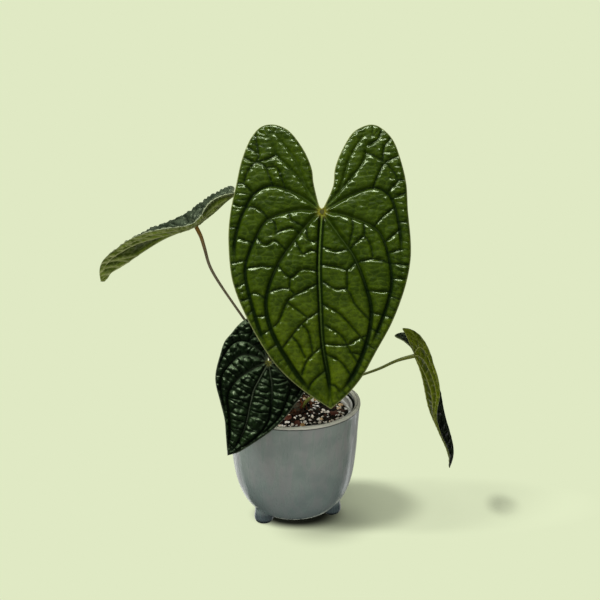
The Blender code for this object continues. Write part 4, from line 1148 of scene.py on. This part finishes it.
class PLANT_OT_potting_mix(bpy.types.Operator):
    """Make the potting mix with its bark and perlite"""

    bl_idname = "plant.potting_mix"
    bl_label = "Potting mix"

    def top(self, profile, sides, lift):
        """A turned shape whose top follows the lumps of the mix."""
        points, faces = turned(profile, sides)
        for k, (x, y, z) in enumerate(points):
            if z == MIX_TOP:
                points[k, 2] = mix_height(x, y) + lift
        return points, [face[::-1] for face in faces]

    def grain_finish(self, name, stops, rough):
        """Skin of strewn grains: each grain its own tone from the stops."""
        f = Finish(name)
        f.colour = f.add("ShaderNodeValToRGB", {"stops": stops}, {0: f.mark("tone")})
        spots = f.noise(f.place(), 0.8, 3, 0.65)
        f.over(spots.band(0.5, 0.8) * 0.5, (46, 36, 28))
        return f.done(rough, spots, 0.25, specular_ior_level=0.25)

    def execute(self, context):
        look = context.scene.mix_look
        wide = NURSERY_COLLAR - 4.4
        points, faces = self.top([(0, 14), (33.9, 14), (55.8, 107), (wide - 0.3, 110.6),
                                  *[(wide * k / 48, MIX_TOP) for k in range(48, -1, -1)]], 200, 0)
        f = Finish("mix_skin", (4, 3, 3))
        crumbs = f.noise(f.place(), 1.6, 4, 0.7)
        f.over(crumbs.band(0.35, 0.7), (24, 16, 12))
        skin = f.done(0.9, crumbs, 0.9, specular_ior_level=0.2)
        settle(show("potting_mix_skin", mesh_of("potting_mix_skin", at(points), faces), [skin]),
               "potting_mix")

        spots, caps = self.top([(56.4 * k / 40, MIX_TOP) for k in range(40, -1, -1)], 90, 0.1)
        centre = np.hypot(spots[:, 0], spots[:, 1]) < 10.5
        caps = [face for face in caps if not centre[list(face)].any()]
        tree = scatter_tree()
        inputs = ("Density", "Small", "Large", "Flatness", "Length", "Roughness", "Detail", "Seed")
        kinds = (
            ("perlite", look.perlite, 0.0014, 0.004, 0.8, 1.2, 0.5, 2, 1, 0.8,
             ((0.0, 236, 226, 202), (0.45, 250, 244, 226), (0.8, 255, 253, 242), (1.0, 240, 214, 170))),
            ("pebble", look.perlite // 16, 0.0046, 0.0068, 0.8, 1.05, 0.2, 2, 4, 0.6,
             ((0.0, 226, 190, 140), (0.6, 236, 206, 160), (1.0, 196, 150, 84))),
            ("bark", look.bark, 0.0045, 0.0105, 0.45, 1.4, 0.3, 2, 2, 0.7,
             ((0.0, 30, 12, 8), (0.4, 74, 34, 24), (0.8, 112, 60, 42), (1.0, 44, 20, 14))),
            ("peat", look.crumbs, 0.0008, 0.0028, 0.7, 1.5, 0.5, 1, 3, 0.9,
             ((0.0, 4, 3, 3), (0.75, 20, 12, 10), (1.0, 84, 50, 36))),
        )
        for name, count, *sizes, kind, rough, stops in kinds:
            bed = show(name + "_bed", mesh_of(name + "_bed", at(spots), caps), [])
            values = dict(zip(inputs, (count * 100.0, *sizes, look.seed * 10 + kind)))
            values["Finish"] = self.grain_finish(name, stops, rough)
            settle(plain(bed, tree, values, name + "_grains"), None)
        return {"FINISHED"}


class PLANT_OT_crown(bpy.types.Operator):
    """Make the crown that the stalks grow from, with its dry sheaths"""

    bl_idname = "plant.crown"
    bl_label = "Crown"

    def fibrous(self, name, stretch, size, dark, light, depth, rough, gloss):
        """A fibrous skin between two tones."""
        f = Finish(name, dark)
        fibre = f.noise(f.place(1, 1, stretch), *size)
        f.over(fibre.band(0.35, 0.7), light)
        return f.done(rough, fibre, depth, specular_ior_level=gloss)

    def sheath(self, turn, tall, rand):
        """A thin closed scale, curved round the crown and bent outwards."""
        a = math.radians(turn)
        out = np.array([math.sin(a), -math.cos(a)])
        along = np.array([math.cos(a), math.sin(a)])
        rows, cols = 14, 7
        size = rows * cols
        spots = []
        for shell in (0, 0.5):
            for t in np.linspace(0, 1, rows):
                reach = 8.6 + 4.5 * t ** 2 * rand.uniform(0.9, 1.1) - shell
                half = 3.0 * (1 - t ** 1.7) + 0.25
                for s in np.linspace(-1, 1, cols):
                    flat = out * (reach - 1.6 * s * s) + along * half * s
                    spots.append((*flat, 111 + tall * t - 1.2 * s * s))
        grid = []
        for k in (row * cols + col for row in range(rows - 1) for col in range(cols - 1)):
            grid.append((k, k + 1, k + cols + 1, k + cols))
            grid.append((size + k, size + k + cols, size + k + cols + 1, size + k + 1))
        ring = [*range(cols), *range(2 * cols - 1, size, cols), *range(size - 2, size - cols - 1, -1),
                *range(size - 2 * cols, 0, -cols)]
        grid += [(two, one, one + size, two + size) for one, two in zip(ring, ring[1:] + ring[:1])]
        return at(spots), grid

    def execute(self, context):
        points, faces = turned([(0, 97)] + rounded(CROWN[::-1], 1.0)[1:-1] + [(0, 124.5)], 64)
        for k, p in enumerate(points):
            swell = 1 + 0.10 * noise.noise((p[0] / 5, p[1] / 5, p[2] / 4)) + 0.04 * math.sin(p[2] * 1.9)
            points[k, :2] *= swell
        mesh = mesh_of("crown_skin", at(points), [face[::-1] for face in faces])
        bark = self.fibrous("crown_bark", 0.4, (1.4, 4, 0.65), (20, 13, 9), (78, 46, 24), 0.5, 0.6, 0.4)
        settle(show("crown_skin", mesh, [bark]), "crown")
        skin = self.fibrous("dry_sheath", 0.15, (0.9, 3, 0.6), (22, 11, 6), (138, 76, 34), 0.25, 0.45, 0.5)
        rand = random.Random(5)
        for count, turn in enumerate(SHEATH_TURNS):
            name = "sheath_%d" % count
            thing = show(name, mesh_of(name, *self.sheath(turn, rand.uniform(11, 20), rand)), [skin])
            settle(thing, None)
        tree = stalk_tree()
        for count, (route, size) in enumerate(TWIGS):
            line = smooth_line(route, 0.8)
            radius = size * (0.35 + 0.65 * np.sin(np.pi * (0.15 + 0.7 * np.linspace(0, 1, len(line)))))
            settle(swept("twig_%d" % count, line, radius, tree, 12, skin), None)
        return {"FINISHED"}


class PLANT_OT_stage(bpy.types.Operator):
    """Set the floor, the lights and the camera"""

    bl_idname = "plant.stage"
    bl_label = "Stage"

    def lamp(self, name, place, aim, width, height, power, colour=(1, 1, 1), gloss=True):
        """A soft box that faces a point and is seen only in gloss, or gives only soft light."""
        data = bpy.data.lights.new(name, "AREA")
        data.shape = "RECTANGLE"
        data.size, data.size_y, data.energy, data.color = width, height, power, colour
        lamp = add_to_scene(bpy.data.objects.new(name, data))
        lamp.location = place
        lamp.rotation_euler = (Vector(aim) - Vector(place)).to_track_quat("-Z", "Y").to_euler()
        lamp.visible_diffuse = not gloss
        lamp.visible_glossy = gloss

    def patch(self, f, oval):
        """Distance from the middle of an oval on the floor, 1 at its edge."""
        x, y, half_x, half_y = oval
        away = f.vector("SUBTRACT", f.place(), (x, y, 0))
        return f.vector("LENGTH", f.vector("MULTIPLY", away, (1 / half_x, 1 / half_y, 0)), out=1)

    def floor(self, colour):
        """Paper that glows evenly and gives way to lit paper where the pot and the right leaf shade it, so
        that their shadows show. Under and beside the pot a painted shadow darkens the glow and the paper.
        """
        corners = [(400.0 * x, 400.0 * y, 0) for x, y in ((-1, -1), (1, -1), (1, 1), (-1, 1))]
        f = Finish("floor_paper")
        # Painted shadow: under and beside the pot the glow and the paper are both mixed towards this dark
        # colour
        dark = (24, 25, 20)
        under = self.patch(f, UNDER_POT).band(0.5, 1.04)
        painted_shadow_skirt = 0.55 + 0.45 * self.patch(f, PAINTED_SHADOW_BESIDE_POT).band(0.1, 1.0)
        shade = self.patch(f, POT_SHADE).band(0.75, 1.35) * 0.58 + 0.2
        shade = shade + self.patch(f, PLANT_SHADE).band(0.7, 1.15) * 0.26
        shade = (shade - (1 - self.patch(f, RIGHT_LEAF_SHADE).band(0.2, 1.0)) * 0.8) * under
        lit = f.mix(painted_shadow_skirt, dark, colour)
        dim = f.mix((0.1 + 0.9 * under) * painted_shadow_skirt, dark, colour)
        glow = f.add("ShaderNodeEmission", None, {"Color": lit, "Strength": 1.0})
        paper = f.add("ShaderNodeBsdfDiffuse", None, {"Color": dim})
        both = f.add("ShaderNodeMixShader", None, {0: shade, 1: paper, 2: glow})
        f.tree.nodes.remove(f.shader)
        f.feed(f.tree.nodes["Material Output"].inputs["Surface"], both)
        floor = show("floor", mesh_of("floor", corners, [(0, 1, 2, 3)]), [f.material])
        floor.visible_glossy = floor.visible_diffuse = False

    def execute(self, context):
        look = context.scene.stage_look
        self.floor(look.floor)
        sun = bpy.data.lights.new("key", "SUN")
        sun.energy, sun.angle = look.sun, math.radians(12)
        key = add_to_scene(bpy.data.objects.new("key", sun))
        key.rotation_euler = Vector((0.422, 0.129, -0.897)).to_track_quat("-Z", "Y").to_euler()
        key.visible_glossy = False
        x, y, _ = AXIS
        self.lamp("overhead", (x - 0.3, y + 0.25, 1.9), (x - 0.3, y, 0.2), 2.0, 0.3, 38.0, (0.85, 1, 0.65))
        self.lamp("left_box", (x - 0.64, y + 0.79, -0.55), (x, y, 0.06), 0.8, 0.5, 1.3)
        self.lamp("right_box", (x + 0.8, y + 0.72, -0.52), (x, y, 0.06), 0.45, 0.6, 1.0)
        self.lamp("back_sheet", (x, y + 1.1, -0.65), (x, y, 0.05), 1.3, 0.9, 2.4, (0.95, 1, 0.8))
        self.lamp("soft", (x - 0.5, y - 0.25, 2.2), (x, y, 0.2), 1.5, 1.5, 20.0, gloss=False)
        self.lamp("fill", (x + 0.1, y - 2.2, 0.7), (x, y, 0.2), 2.0, 1.4, 14.0, gloss=False)

        world = bpy.data.worlds.new("studio")
        context.scene.world = world
        world.use_nodes = True
        back = world.node_tree.nodes["Background"]
        back.inputs["Color"].default_value = (1, 1, 1, 1)
        back.inputs["Strength"].default_value = look.sky
        world.cycles_visibility.glossy = False

        lens = bpy.data.cameras.new("camera")
        lens.lens, lens.sensor_width, lens.clip_end = look.lens, 36.0, 1000.0
        camera = add_to_scene(bpy.data.objects.new("camera", lens))
        camera.location = at(CAMERA_SPOT)
        camera.rotation_euler = (math.radians(90 - CAMERA_DOWN), 0, 0)
        context.scene.camera = camera
        context.scene.view_settings.view_transform = "Standard"
        return {"FINISHED"}


class PLANT_PT_panel(bpy.types.Panel):
    """Lists the steps and their settings in the sidebar"""

    bl_idname = "PLANT_PT_panel"
    bl_label = "Potted anthurium"
    bl_space_type = "VIEW_3D"
    bl_region_type = "UI"
    bl_category = "Plant"

    def draw(self, context):
        for maker in MAKERS:
            self.layout.operator(maker.bl_idname)
        for name in LOOKS:
            look = getattr(context.scene, name)
            for key in look.bl_rna.properties.keys():
                if key not in ("rna_type", "name"):
                    self.layout.prop(look, key)


MAKERS = (PLANT_OT_ceramic_pot, PLANT_OT_nursery_pot, PLANT_OT_potting_mix, PLANT_OT_crown,
          PLANT_OT_stalks, PLANT_OT_blades, PLANT_OT_stage)
LOOKS = {"leaf_look": LeafLook, "pot_look": PotLook, "mix_look": MixLook, "stage_look": StageLook}


def register():
    for group in LOOKS.values():
        bpy.utils.register_class(group)
    for name, group in LOOKS.items():
        setattr(bpy.types.Scene, name, bpy.props.PointerProperty(type=group))
    for maker in (*MAKERS, PLANT_PT_panel):
        bpy.utils.register_class(maker)


def unregister():
    for maker in (PLANT_PT_panel, *reversed(MAKERS)):
        bpy.utils.unregister_class(maker)
    for name in LOOKS:
        delattr(bpy.types.Scene, name)
    for group in LOOKS.values():
        bpy.utils.unregister_class(group)


def main():
    register()
    for maker in MAKERS:
        getattr(bpy.ops.plant, maker.bl_idname.split(".")[1])()


if __name__ == "__main__":
    main()
